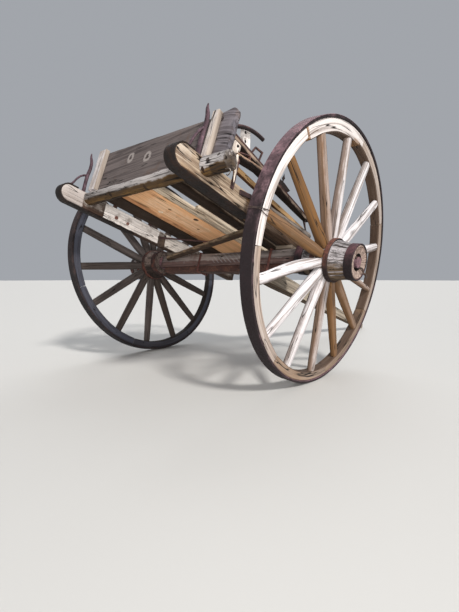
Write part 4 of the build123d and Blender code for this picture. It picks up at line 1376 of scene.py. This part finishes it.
    def make_felloes(self, bed: BedFrame, finish: Wood) -> None:
        """Make the seven felloes, each a little out of line with the next.

        Args:
            bed: The bed's frame.
            finish: Their wood.
        """
        step = math.tau / self.felloes
        outer = self.radius - self.tyre - self.seat
        inner = outer - self.felloe_depth + self.seat
        gap = self.joint / outer
        parts = []
        for number in range(self.felloes):
            start = self.frame.phase + math.tau / self.spokes / 2 + number * step + gap / 2
            length = step - gap
            extra = 0.0
            if self.varied and number == self.deep_felloe:
                extra = self.deeper_by
                start += self.joint_shift
                length -= self.joint_shift
            if self.varied and number == self.deep_felloe - 1:
                length += self.joint_shift
            half = self.felloe_width / 2
            profile = self.box_profile(inner - extra, outer, -half, half, self.felloe_round, 4)
            part = self.spin_profile("felloe", profile, length, self.felloe_steps, start)
            slip = self.felloe_slip * ripple(Vector((number, 0, 0)), (3.1, 1, 1), self.seed)
            for vertex in part.data.vertices:
                reach, turn = polar(vertex.co)
                wave = ripple(vertex.co, (11, 11, 30), self.seed + number)
                past = (turn - start + 0.1) % math.tau - 0.1
                near = min(abs(past), abs(length - past))
                worn = self.joint_worn * math.exp(-near * outer / self.joint_worn_run)
                if extra and reach < inner - 0.001:
                    turn -= self.torn_turn * max(0.0, 1 - past / self.torn_run)
                if extra and near < self.torn_run:
                    torn = self.torn_depth * max(0.0, ripple(vertex.co, (70, 70, 70), 3.3))
                    reach += torn * (1 - near / self.torn_run)
                inward = max(0.0, (outer - 0.01 - reach) / self.felloe_depth)
                reach += inward * (self.felloe_uneven * wave + worn)
                vertex.co.z += slip + 0.0008 * wave
                vertex.co = around(reach, turn, vertex.co.z)
            parts.append(part)
        obj = merge(parts, f"felloes_{self.frame.name}_worn")
        self.hang(obj, "felloes", finish.build(bed, self.frame), "bleached_felloe", TURNED_ANGLE)

    def make_spokes(self, bed: BedFrame, finish: Wood) -> None:
        """Make the fourteen spokes, each with its own wear.

        Args:
            bed: The bed's frame.
            finish: Their wood.
        """
        inner = self.nave_radius - self.spoke_root
        outer = self.radius - self.tyre - self.felloe_depth + self.spoke_tenon
        parts = []
        rows = self.spoke_rows
        for number in range(self.spokes):
            part = add_cylinder("spoke", 20, 1, 1)
            with editing():
                slice_across(2, (cut / rows - 0.5 for cut in range(1, rows)))
            for vertex in part.data.vertices:
                share = vertex.co.z + 0.5
                angle = math.atan2(vertex.co.y, vertex.co.x)
                width, thickness, square = self.spoke_section(share)
                power = 2 / (2 + square)
                c, s = math.cos(angle), math.sin(angle)
                across = width / 2 * math.copysign(abs(c) ** power, c)
                deep = thickness / 2 * math.copysign(abs(s) ** power, s)
                reach = inner + share * (outer - inner)
                wave = ripple(Vector((reach, across, deep)), (7, 40, 40), self.seed + number)
                lean = ripple(Vector((number, 0, 0)), (2.7, 1, 1), self.seed)
                bow = self.spoke_bow * math.sin(share * math.pi) * lean
                if self.varied and number == self.bent_spoke:
                    bow -= self.spoke_bend * math.sin(min(1.0, share * 1.15) * math.pi)
                grow = 1 + self.spoke_uneven * wave
                slim = self.slim_share if self.varied and number == self.slim_spoke else 1.0
                vertex.co = Vector((reach, across * grow * slim + bow, deep * grow + self.spoke_offset))
            part.data.transform(Matrix.Rotation(self.frame.phase + number * math.tau / self.spokes, 4, "Z"))
            parts.append(part)
        obj = merge(parts, f"spokes_{self.frame.name}_worn")
        self.hang(obj, "spokes", finish.build(bed, self.frame), "bleached_spoke", SPOKE_ANGLE)

    @staticmethod
    def spoke_section(share: float) -> Triple:
        """Width, thickness and squareness of a spoke, from its foot (0) to its tip (1).

        Args:
            share: Place along the spoke, from 0 to 1.

        Returns:
            The width, the thickness and the squareness.
        """
        knots = (
            (0.0, 0.044, 0.046, 4.0), (0.06, 0.046, 0.046, 3.0), (0.2, 0.058, 0.046, 1.0),
            (0.6, 0.056, 0.041, 0.5), (0.96, 0.050, 0.036, 0.4), (1.0, 0.046, 0.032, 0.4),
        )
        for (s0, *first), (s1, *second) in zip(knots, knots[1:]):
            if share <= s1:
                t = (share - s0) / (s1 - s0)
                return tuple(a + (b - a) * t for a, b in zip(first, second))
        return tuple(knots[-1][1:])

    def make_nave(self, bed: BedFrame, finish: Wood, face: Wood) -> None:
        """Make the turned nave with its open cracks and the ring at its mouth.

        Args:
            bed: The bed's frame.
            finish: Its wood.
            face: Wood of the ring at its mouth.
        """
        rear, front = self.band_places
        front += self.spoke_band
        inside, outside = -self.inner_reach, self.outer_reach
        end, lip, bottom = outside - self.band_width, outside - self.dish, outside - self.mouth_depth
        outline = [
            (self.bore, inside), (self.nave_end, inside), (self.nave_end, inside + self.band_width),
            (self.nave_radius, rear), (self.nave_radius, front), (self.nave_end + 0.006, end),
            (self.nave_end, end),
            (self.nave_end, outside - 0.003), (self.nave_end - 0.004, outside),
            (self.mouth + 0.001, outside), (self.mouth, outside - 0.001),
            (self.throat + 0.002, lip), (self.throat, lip - 0.002), (self.throat - 0.002, bottom),
            (self.bore, bottom),
        ]
        profile = []
        for first, second in zip(outline, outline[1:]):
            length = math.hypot(second[0] - first[0], second[1] - first[1])
            parts = max(1, round(length / 0.006))
            for cut in range(parts):
                share = cut / parts
                profile.append(tuple(a + (b - a) * share for a, b in zip(first, second)))
        profile.append(outline[-1])
        obj = self.spin_profile(f"nave_{self.frame.name}_worn", profile, math.tau, self.nave_steps)
        cracks = []
        for number in range(self.crack_count):
            place = 0.3 + 0.42 * number + 0.2 * math.sin(3.1 * number + self.seed)
            cracks.append((place, 0.0024 + 0.001 * math.sin(1.7 * number)))
        for vertex in obj.data.vertices:
            reach, angle = polar(vertex.co)
            height = vertex.co.z
            if reach < self.throat + 0.001:
                continue
            body_part = front - 0.004 < height < end - 0.001
            end_part = height > lip - 0.001
            wander = 0.02 * noise.noise(Vector((height * 22, self.seed, 0)))
            depth = 0.0
            for place, width in cracks:
                off = abs((angle - place - wander + math.pi) % math.tau - math.pi) * reach
                if off < width:
                    depth = max(depth, 1 - off / width)
            if body_part:
                uneven = self.nave_uneven * (1 + ripple(vertex.co, (50, 50, 9), self.seed))
                reach -= self.crack_depth * depth + uneven
            if end_part:
                uneven = self.end_uneven * (1 + ripple(vertex.co, (45, 45, 45), self.seed))
                height -= self.end_crack_depth * depth + uneven
            vertex.co = around(reach, angle, height)
        self.hang(obj, "nave", finish.build(bed, self.frame), "cracked_nave", TURNED_ANGLE)
        obj.data.materials.append(face.build(bed, self.frame))
        # Painted shade: the throat's walls and the mouth's floor take the near-black axle iron, partly for
        # the iron box and partly for the shade deep in the mouth.
        obj.data.materials.append(IRONS["axle_box"].build())
        inverse = self.frame.matrix.inverted()
        for polygon in obj.data.polygons:
            place = inverse @ polygon.center
            reach = place.xy.length
            if place.z > bottom - 0.002 and reach < self.nave_end - 0.0015:
                on_ring = reach > self.throat - 0.0005 and place.z > lip - 0.003
                polygon.material_index = 1 if on_ring else 2

    def make_bands(self, finish: Iron, by_spokes: Iron) -> None:
        """Make the four iron bands on the nave, the two by the spokes in their own finish.

        Args:
            finish: Iron of the two end bands.
            by_spokes: Iron of the two by the spokes.
        """
        rear, front = self.band_places
        parts = []
        for low, width, inner in (
            (-self.inner_reach, self.band_width, self.nave_end),
            (rear, self.spoke_band, self.nave_radius),
            (front, self.spoke_band, self.nave_radius),
            (self.outer_reach - self.band_width, self.band_width, self.nave_end),
        ):
            profile = self.box_profile(inner, inner + self.band, low, low + width, self.band_round, 2)
            part = self.spin_profile("band", profile, math.tau, self.band_steps)
            for vertex in part.data.vertices:
                if vertex.co.xy.length > inner + self.band / 2:
                    wave = ripple(vertex.co, (26, 26, 26), self.seed + low)
                    vertex.co.xy *= 1 - self.band_dents * (0.5 + 0.5 * wave)
            parts.append(part)
        obj = merge(parts, f"nave_bands_{self.frame.name}_worn")
        self.hang(obj, "nave_bands", finish.build(), "rusty_band")
        obj.data.materials.append(by_spokes.build())
        inverse = self.frame.matrix.inverted()
        for polygon in obj.data.polygons:
            polygon.material_index = int(rear - 0.001 < (inverse @ polygon.center).z < front + 0.028)

    def make_linchpin(self, finish: Iron) -> None:
        """Make the pin through the arm's end, its tail bent out of the mouth and over the face.

        Args:
            finish: Its iron.
        """
        turn = math.radians(self.pin_turn)
        way = (math.cos(turn), self.frame.side * math.sin(turn))
        path = tuple((along * way[0], along * way[1], height) for along, height in PIN_PATH)
        pin = ForgedBar(
            f"linchpin_{self.frame.name}_worn", path, 11, PIN_RADII, wave=0.12, seed=self.seed + 4.0
        )
        obj = pin.build(self.frame.matrix)
        take(obj, "cart", finish.build(), "axle_iron", f"linchpin_{self.frame.name}")


@dataclass
class RearLog:
    """The round, knotty log across the rear, cut rough at its ends."""

    left: float = 0.476
    right: float = -0.692
    back: float = -0.765
    height: float = 0.151
    radius: float = 0.038
    butt: float = 0.13
    butt_start: float = -0.45
    butt_run: float = 0.08
    bared: float = 0.985
    girth: float = 0.955
    waves: float = 0.06
    lumps: float = 0.07
    knobs: float = 0.05
    sway: float = 0.004
    bite: float = 0.010
    rows: int = 70
    seed: float = 5.0

    def build(self, bed: BedFrame, finish: Wood) -> Piece:
        """Make the log.

        Args:
            bed: The bed's frame.
            finish: Its wood.

        Returns:
            The piece.
        """
        length = self.left - self.right
        obj = add_cylinder("rear_log_worn", 40, self.radius, length)
        with editing("DESELECT"):
            bpy.ops.mesh.select_mode(type="FACE")
        for face in obj.data.polygons:
            face.select = len(face.vertices) > 4
        with editing(""):
            bpy.ops.mesh.inset(thickness=0.012, depth=0.003)
            slice_across(2, ((cut / self.rows - 0.5) * length for cut in range(1, self.rows)))
        for vertex in obj.data.vertices:
            z = vertex.co.z
            wave = ripple(vertex.co, (22, 22, 5), self.seed)
            lump = ripple(vertex.co, (14, 14, 11), self.seed + 3)
            knob = ripple(vertex.co, (38, 38, 24), self.seed + 7)
            across = self.right + z + length / 2
            thick = 1 + self.butt * min(1.0, max(0.0, (self.butt_start - across) / self.butt_run))
            vertex.co.xy *= (self.girth + self.waves * wave + self.lumps * lump + self.knobs * knob) * thick
            vertex.co.x += self.sway * noise.noise(Vector((z * 3.5, self.seed, 0)))
            end = max(0.0, abs(z) / (length / 2) - self.bared) / 0.015
            if end:
                bite = self.bite * end * max(0.0, ripple(vertex.co, (60, 60, 0), self.seed))
                vertex.co.z -= math.copysign(bite, z)
        middle = (self.left + self.right) / 2
        stand = Matrix(((1, 0, 0, self.back), (0, 0, 1, middle), (0, -1, 0, self.height), (0, 0, 0, 1)))
        settle(obj, bed.matrix @ stand)
        close_up(obj, ROUND_ANGLE)
        return take(obj, "cart", finish.build(bed), "grey_log", "rear_log")


@dataclass
class Studio:
    """The plain studio: camera at the photograph's place, pale floor and soft light."""

    camera_from_axle: Triple = (-1.8819, -1.7654, 0.5970)
    yaw: float = 0.7332
    pitch: float = 0.1590
    lens: float = 21.88
    shift: float = 0.049
    sensor: float = 36
    key: float = 3.05
    key_way: Triple = (0.22, 0.78, -0.74)
    back: float = 1.3
    back_way: Triple = (-0.62, -0.45, -0.64)
    fill: float = 0.42
    low: float = 21.0
    low_size: float = 1.6
    low_spread: float = 75
    low_place: Triple = (-3.4, -3.0, 0.9)
    low_aim: Triple = (-0.6, 0.3, 0.95)
    floor_radius: float = 60

    def camera(self, bed: BedFrame) -> None:
        """Set up the camera.

        Args:
            bed: The bed's frame, whose axle the camera's place is measured from.
        """
        data = bpy.data.cameras.new("camera")
        data.lens = self.lens
        data.sensor_width = self.sensor
        data.shift_y = self.shift
        obj = bpy.data.objects.new("camera", data)
        bpy.context.scene.collection.objects.link(obj)
        level = math.cos(self.pitch)
        ahead = Vector((math.cos(self.yaw) * level, math.sin(self.yaw) * level, -math.sin(self.pitch)))
        obj.location = Vector((bed.axle.x, 0, 0)) + Vector(self.camera_from_axle)
        obj.rotation_mode = "QUATERNION"
        obj.rotation_quaternion = ahead.to_track_quat("-Z", "Y")
        bpy.context.scene.camera = obj

    @staticmethod
    def place(light: bpy.types.Light, where: Vector, way: Vector) -> None:
        """Hang a light at a place, shining the given way.

        Args:
            light: The light.
            where: Its place.
            way: The way it shines.
        """
        obj = bpy.data.objects.new(light.name, light)
        bpy.context.scene.collection.objects.link(obj)
        obj.location = where
        obj.rotation_mode = "QUATERNION"
        obj.rotation_quaternion = way.to_track_quat("-Z", "Y")

    def light(self) -> None:
        """Set up the key light, a soft one behind, a low one under the bed and the background."""
        for name, energy, spread, colour, way in (
            ("key", self.key, 9, (1.0, 0.975, 0.94), self.key_way),
            ("back", self.back, 50, (0.96, 0.98, 1.0), self.back_way),
        ):
            sun = bpy.data.lights.new(name, "SUN")
            sun.energy = energy
            sun.angle = math.radians(spread)
            sun.color = colour
            self.place(sun, Vector((0, 0, 3)), Vector(way))
        soft = bpy.data.lights.new("low", "AREA")
        soft.shape = "DISK"
        soft.size = self.low_size
        soft.spread = math.radians(self.low_spread)
        soft.energy = self.low
        soft.color = (1.0, 0.97, 0.93)
        self.place(soft, Vector(self.low_place), Vector(self.low_aim) - Vector(self.low_place))
        world = bpy.data.worlds.new("studio")
        bpy.context.scene.world = world
        world.use_nodes = True
        back = world.node_tree.nodes["Background"]
        back.inputs["Color"].default_value = (0.86, 0.9, 0.97, 1)
        back.inputs["Strength"].default_value = self.fill
        bpy.context.scene.view_settings.view_transform = "Standard"

    def floor(self) -> None:
        """Lay the pale floor."""
        bpy.ops.mesh.primitive_circle_add(
            vertices=96, radius=self.floor_radius, fill_type="NGON", location=(0, 0, 0)
        )
        obj = bpy.context.object
        obj.name = "studio_floor"
        graph = Graph("studio_floor")
        graph.shader.inputs["Base Color"].default_value = (0.56, 0.55, 0.53, 1)
        graph.shader.inputs["Roughness"].default_value = 0.9
        obj.data.materials.append(graph.material)


def longest(table: dict, node: str) -> object:
    """The table's entry whose key is the longest start of a node's name."""
    keys = [key for key in table if node.startswith(key)]
    return table[max(keys, key=len)] if keys else None


def dress_nodes(frame: dict, bed: BedFrame) -> None:
    """Give every CAD node that still shows a detailed material.

    Args:
        bed: The bed's frame.
    """
    made: dict[str, Material] = {}
    for name, obj in sorted(frame["nodes"].items()):
        if obj.hide_render:
            continue
        wood = longest(WOODS, name)
        finish = wood or longest(IRONS, name)
        if finish.name not in made:
            made[finish.name] = finish.build(bed) if wood else finish.build()
        obj.data.materials.clear()
        obj.data.materials.append(made[finish.name])
        LOG.info("node %s: %s", name, finish.name)


# Node, spacing of the cuts, bevel, warp, depth of the chips, axis of the grain and seed
TIMBERS = tuple(
    WornTimber(*row)
    for row in (
        ("tailboard", 0.035, 0.004, 0.0015, 0.012, 1, 2.1),
        ("tailboard_battens", 0.03, 0.002, 0.001, 0.006, 2, 3.3),
        ("side_sill_left", 0.045, 0.005, 0.0016, 0.005, 0, 4.2),
        ("side_sill_right", 0.045, 0.005, 0.0016, 0.02, 0, 5.7),
        ("axle_timber", 0.04, 0.005, 0.002, 0.025, 1, 6.4),
        ("pole", 0.06, 0.006, 0.0016, 0.02, 0, 7.9),
        ("floor_plank_wide", 0.05, 0.003, 0.001, 0.008, 0, 8.3),
        ("floor_plank_left", 0.05, 0.003, 0.001, 0.003, 0, 9.2),
        ("floor_plank_dark", 0.05, 0.003, 0.001, 0.01, 0, 10.6),
        ("floor_plank_right", 0.05, 0.003, 0.001, 0.01, 0, 11.4),
        ("floor_strip_pale", 0.04, 0.002, 0.001, 0.008, 0, 12.8),
        ("floor_strip_narrow", 0.04, 0.002, 0.001, 0.008, 0, 13.1),
        ("cross_members", 0.05, 0.004, 0.001, 0.012, 1, 14.7),
        ("upper_rail_left", 0.04, 0.0015, 0.0008, 0.004, 0, 15.2),
        ("upper_rail_right", 0.04, 0.0015, 0.0008, 0.004, 0, 16.9),
        ("lower_rail_left", 0.035, 0.003, 0.001, 0.010, 0, 17.3),
        ("lower_rail_right", 0.035, 0.003, 0.001, 0.010, 0, 18.5),
        ("rave_board", 0.03, 0.003, 0.001, 0.010, 0, 19.4),
        ("rail_block", 0.02, 0.002, 0.0006, 0.006, 2, 20.7),
        ("bolster_blocks", 0.03, 0.003, 0.001, 0.010, 1, 21.6),
        ("axle_underbar", 0.05, 0.003, 0.001, 0.006, 1, 22.2),
        ("sill_shoe_left", 0.05, 0.0012, 0.0006, 0.003, 0, 23.9),
        ("sill_shoe_right", 0.05, 0.0012, 0.0006, 0.003, 0, 24.4),
    )
)
# Paths in millimetres along, across and up in the bed's frame, but for these: RIM_LOOP and PIN_PATH are
# reach and height in a wheel's frame, RIM_TAIL adds a turn in radians, and STEM and BRACES go back and up
STAKE_PATH = (
    (-617, -566, 289), (-616, -566, 262), (-614, -567, 232), (-610, -567, 204), (-606, -567, 178),
    (-603, -567, 146),
)
CURL_PATH = (
    (-772, -676, 112), (-782, -694, 101), (-790, -716, 96), (-792, -733, 84), (-790, -727, 68),
    (-787, -712, 66), (-786, -706, 76),
)
TIE_PATH = (
    (78, -541, 285), (86, -541, 262), (101, -543, 236), (112, -543, 208), (121, -541, 186),
    (132, -536, 182), (137, -530, 190),
)
ROD_PATH = ((-36, 176, -70), (-38, 90, -76), (-40, -20, -78), (-42, -120, -84), (-42, -212, -92))
RIM_LOOP = (
    (687, -35), (688.5, 0), (687, 35), (664, 33.5), (640, 32.5), (622, 31), (619, 16), (619, -16),
    (622, -31), (655, -33), (687, -35),
)
RIM_TAIL = ((668, 35, 0.0), (664, 40, 0.004), (658, 44, -0.002), (652, 41, -0.01))
CLEAT_CORNERS = ((-220, 470, 138), (-168, 470, 152), (-146, 470, 82), (-202, 470, 66))
BRACKET_CORNERS = ((-536, -556, 163), (-452, -556, 180), (-446, -556, 158), (-530, -556, 141))
PIN_PATH = (
    (-38, 172), (-10, 172), (18, 172), (31, 171), (36, 182), (37, 194), (48, 198), (64, 196), (74, 199),
    (78, 204)
)
PIN_RADII = (1.0, 1.0, 1.0, 1.0, 0.9, 0.85, 0.8, 0.75, 1.0, 1.2)
STEM = ((0, 0), (1, 60), (0, 110), (-9, 160), (-7, 205), (6, 232), (5, 252))
STEM_RADII = (1.05, 1.0, 1.0, 0.95, 0.85, 0.6, 0.25)
BRACE_RADII = (0.9, 0.9, 0.85, 0.8, 0.8, 0.95, 1.0)
BRACES = {
    "left": ((0, 112), (14, 108), (36, 92), (55, 66), (66, 40), (80, 14), (98, 8)),
    "right": ((0, 140), (12, 128), (26, 102), (40, 74), (48, 44), (60, 14), (78, 8)),
}


@dataclass
class SmallIron:
    """The forged irons, wires and bolts that the photograph shows round the cart."""

    bed: BedFrame
    foot: float = -797.0
    clip_places: Pair = (0.175, -0.430)
    clip_share: float = 0.55
    bolt_plane: float = 0.4738
    sill_top: float = 181.0
    sill_middle: float = 511.5

    def bar(self, shape: ForgedBar, material: Material, slot: str = "rusty_iron", *nodes: str) -> None:
        """Make a bar in the bed's frame.

        Args:
            shape: The bar.
            material: Its finish.
            slot: The record's material slot.
            nodes: CAD nodes that it stands for.
        """
        take(shape.build(self.bed.matrix), "cart", material, slot, *nodes)

    def forked_irons(self, finish: Iron) -> None:
        """Make each forked iron: a stem that tapers to its top and the brace behind it.

        Args:
            finish: Their iron.
        """
        for side, name in ((1, "left"), (-1, "right")):
            v = side * self.sill_middle
            parts = []
            for kind, shape, thickness, radii, seed in (
                ("stem", STEM, 20, STEM_RADII, side + 2.0),
                ("brace", BRACES[name], 14, BRACE_RADII, side + 5.0),
            ):
                path = tuple((self.foot - back, v, self.sill_top + rise) for back, rise in shape)
                parts.append(ForgedBar(kind, path, thickness, radii, 1.5, seed=seed).build(self.bed.matrix))
            obj = merge(parts, f"forked_iron_{name}_worn")
            take(obj, "cart", finish.build(), "rusty_iron", f"forked_iron_{name}")

    def stake(self, finish: Wood) -> None:
        """Make the splintered stake by the log's right end.

        Args:
            finish: Its wood.
        """
        radii = (1.0, 1.0, 1.0, 0.85, 0.5, 0.08)
        stake = ForgedBar("rear_stake_worn", STAKE_PATH, 20, radii, 0.8, 0.22, 2, 4.4)
        self.bar(stake, finish.build(self.bed), "bleached_batten", "rear_stake")

    def clips(self, finish: Iron) -> None:
        """Make the two thin clips round the axle from copies of the CAD clips.

        Args:
            finish: Their iron.
        """
        obj = cad_copy("axle_clips", self.bed)
        left, right = self.clip_places
        for vertex in obj.data.vertices:
            middle = left if vertex.co.y > 0 else right
            wave = 0.004 * ripple(vertex.co, (20, 0, 20), 1.7)
            vertex.co.y = middle + (vertex.co.y - middle) * self.clip_share + wave
        modify(obj, "BEVEL", width=0.0015, segments=2, limit_method="ANGLE")
        settle(obj, self.bed.matrix)
        close_up(obj)
        take(obj, "cart", finish.build(), "rusty_iron", "axle_clips")

    def bolts(self, finish: Iron) -> None:
        """Make the bolt heads on the left sill's inner face.

        Args:
            finish: Their iron.
        """
        parts = []
        for u, w in ((-566, 120), (-477, 118)):
            obj = add_cylinder("sill_bolt", 20, 0.0095, 0.006)
            for face in obj.data.polygons:
                face.select = face.normal.z > 0.9
            with editing(""):
                bpy.ops.mesh.select_mode(type="FACE")
                bpy.ops.mesh.inset(thickness=0.003, depth=0.0015)
            place = Matrix.Translation((u / MM, self.bolt_plane, w / MM))
            settle(obj, self.bed.matrix @ (place @ Matrix.Rotation(math.radians(90), 4, "X")))
            close_up(obj)
            parts.append(obj)
        take(merge(parts, "sill_bolts"), "cart", finish.build(), "rusty_iron")

    def plate(self, name: str, corners: tuple, thickness: float, finish: Iron) -> None:
        """Make a flat iron plate against a sill.

        Args:
            name: Its name.
            corners: Four corners in the bed's frame, in millimetres.
            thickness: Its thickness in millimetres, towards +v.
            finish: Its finish.
        """
        bpy.ops.mesh.primitive_plane_add(size=1, location=(0, 0, 0))
        obj = bpy.context.object
        obj.name = name
        for vertex, index in zip(obj.data.vertices, (0, 1, 3, 2)):
            vertex.co = [c / MM for c in corners[index]]
        with editing():
            bpy.ops.mesh.subdivide(number_cuts=5)
            bpy.ops.mesh.extrude_region_move(TRANSFORM_OT_translate={"value": (0, thickness / MM, 0)})
        for vertex in obj.data.vertices:
            vertex.co += Vector((1, 0.3, 1)) * 0.0015 * ripple(vertex.co, (40, 40, 40), thickness)
        settle(obj, self.bed.matrix)
        close_up(obj)
        modify(obj, "BEVEL", width=0.0012, segments=2, limit_method="ANGLE")
        take(obj, "cart", finish.build(), "rusty_iron")

    def wires(self, wheel: WheelFrame, finish: Iron) -> None:
        """Make the wires: log's curl, pole's tie, pin's ring, slack rod and the loop round the right rim.

        Args:
            wheel: The right wheel's frame.
            finish: Their iron; the curl is of wood.
        """
        curl = ForgedBar("log_curl", CURL_PATH, 4.2, wave=0.2, seed=2.2)
        self.bar(curl, WOODS["loose_pole"].build(self.bed), "grey_log")
        turns = (2.4, 1.6, 0.8, 0.0, -0.8, -1.6, -2.4, -3.1)
        ring = tuple(
            (66 + 11 * math.cos(turn), -984 + 1.5 * turn, -70 + 11 * math.sin(turn)) for turn in turns
        )
        for name, path, thickness, seed in (
            ("pole_tie", TIE_PATH, 5, 3.2),
            ("pin_ring", ring, 4.5, 8.2),
            ("slack_rod", ROD_PATH, 9, 5.2),
        ):
            self.bar(ForgedBar(name, path, thickness, wave=0.1, seed=seed), finish.build())
        loops = []
        for turn, (angle, lean) in enumerate(((163.7, 0.6), (164.9, -0.5))):
            path = []
            for index, (reach, height) in enumerate(RIM_LOOP):
                at = math.radians(angle + lean * math.sin(index * 0.9 + turn))
                path.append(around(reach, at, height))
            loop = ForgedBar("loop", tuple(path), 3.6, wave=0.1, order=2, seed=turn + 6.0)
            loops.append(loop.build(wheel.matrix))
        at = math.radians(164.3)
        tail = tuple(around(reach, at + turn, height) for reach, height, turn in RIM_TAIL)
        loops.append(ForgedBar("tail", tail, 3.6, wave=0.1, seed=9.0).build(wheel.matrix))
        take(merge(loops, "rim_wire"), wheel.body, finish.build(), "rusty_iron")


BOARD_START = -0.50
BOARD_RUN = 0.13
BOARD_LONGER = 0.016
CORNER_FOOT = 0.20
CORNER_RUN = 0.18
CORNER_LIFT = 0.022


def square_up_board(obj: Piece, bed: BedFrame) -> None:
    """Lengthen the tailboard's right end a little and fill out its upper corner, as in the photograph.

    Args:
        obj: The tailboard, in the row frame.
        bed: The bed's frame.
    """
    inverse = bed.matrix.inverted()
    for vertex in obj.data.vertices:
        place = inverse @ vertex.co
        share = min(1.0, max(0.0, (BOARD_START - place.y) / BOARD_RUN))
        upper = min(1.0, max(0.0, (place.z - CORNER_FOOT) / CORNER_RUN))
        place.y -= BOARD_LONGER * share
        place.z += CORNER_LIFT * share * upper
        vertex.co = bed.matrix @ place


def main() -> None:
    """Build the whole scene, piece by piece."""
    logging.basicConfig(level=logging.INFO, format="%(message)s")
    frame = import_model()
    bed = BedFrame.from_frame(frame)
    wheels = {
        "left": WheelFrame.from_frame(frame, "left", -1.6),
        "right": WheelFrame.from_frame(frame, "right", 9.6),
    }
    studio = Studio()
    studio.camera(bed)
    studio.light()
    studio.floor()
    for name, wheel_frame in wheels.items():
        wheel = Wheel(wheel_frame, seed=3.0 if name == "right" else 8.0)
        wheel.make_tyre(IRONS[f"tyre_{name}"])
        wheel.make_felloes(bed, WHEEL_WOODS[name]["felloes"])
        wheel.make_spokes(bed, WHEEL_WOODS[name]["spokes"])
        wheel.make_nave(bed, WHEEL_WOODS[name]["nave"], NAVE_FACE)
        wheel.make_bands(IRONS[f"nave_bands_{name}"], IRONS[f"spoke_bands_{name}"])
        wheel.make_linchpin(IRONS["linchpin"])
    RearLog().build(bed, WOODS["rear_log"])
    slots = {row["node"]: row["material_slot"] for row in frame["record"]["subparts"]}
    for timber in TIMBERS:
        node = timber.node
        wood = longest(WOODS, node)
        obj = timber.build(bed)
        if node == "tailboard":
            square_up_board(obj, bed)
        material = wood.build(bed) if wood else longest(IRONS, node).build()
        take(obj, "cart", material, slots[node], node)
    irons = SmallIron(bed)
    irons.forked_irons(IRONS["forked_iron"])
    irons.stake(WOODS["rear_stake"])
    irons.clips(IRONS["axle_clips"])
    irons.bolts(IRONS["sill_bolts"])
    irons.plate("cleat_plate", CLEAT_CORNERS, 6.5, IRONS["cleat_plate"])
    irons.plate("sill_bracket", BRACKET_CORNERS, 9, IRONS["bent_bar"])
    irons.wires(wheels["right"], WIRE)
    dress_nodes(frame, bed)


if __name__ == "__main__":
    main()
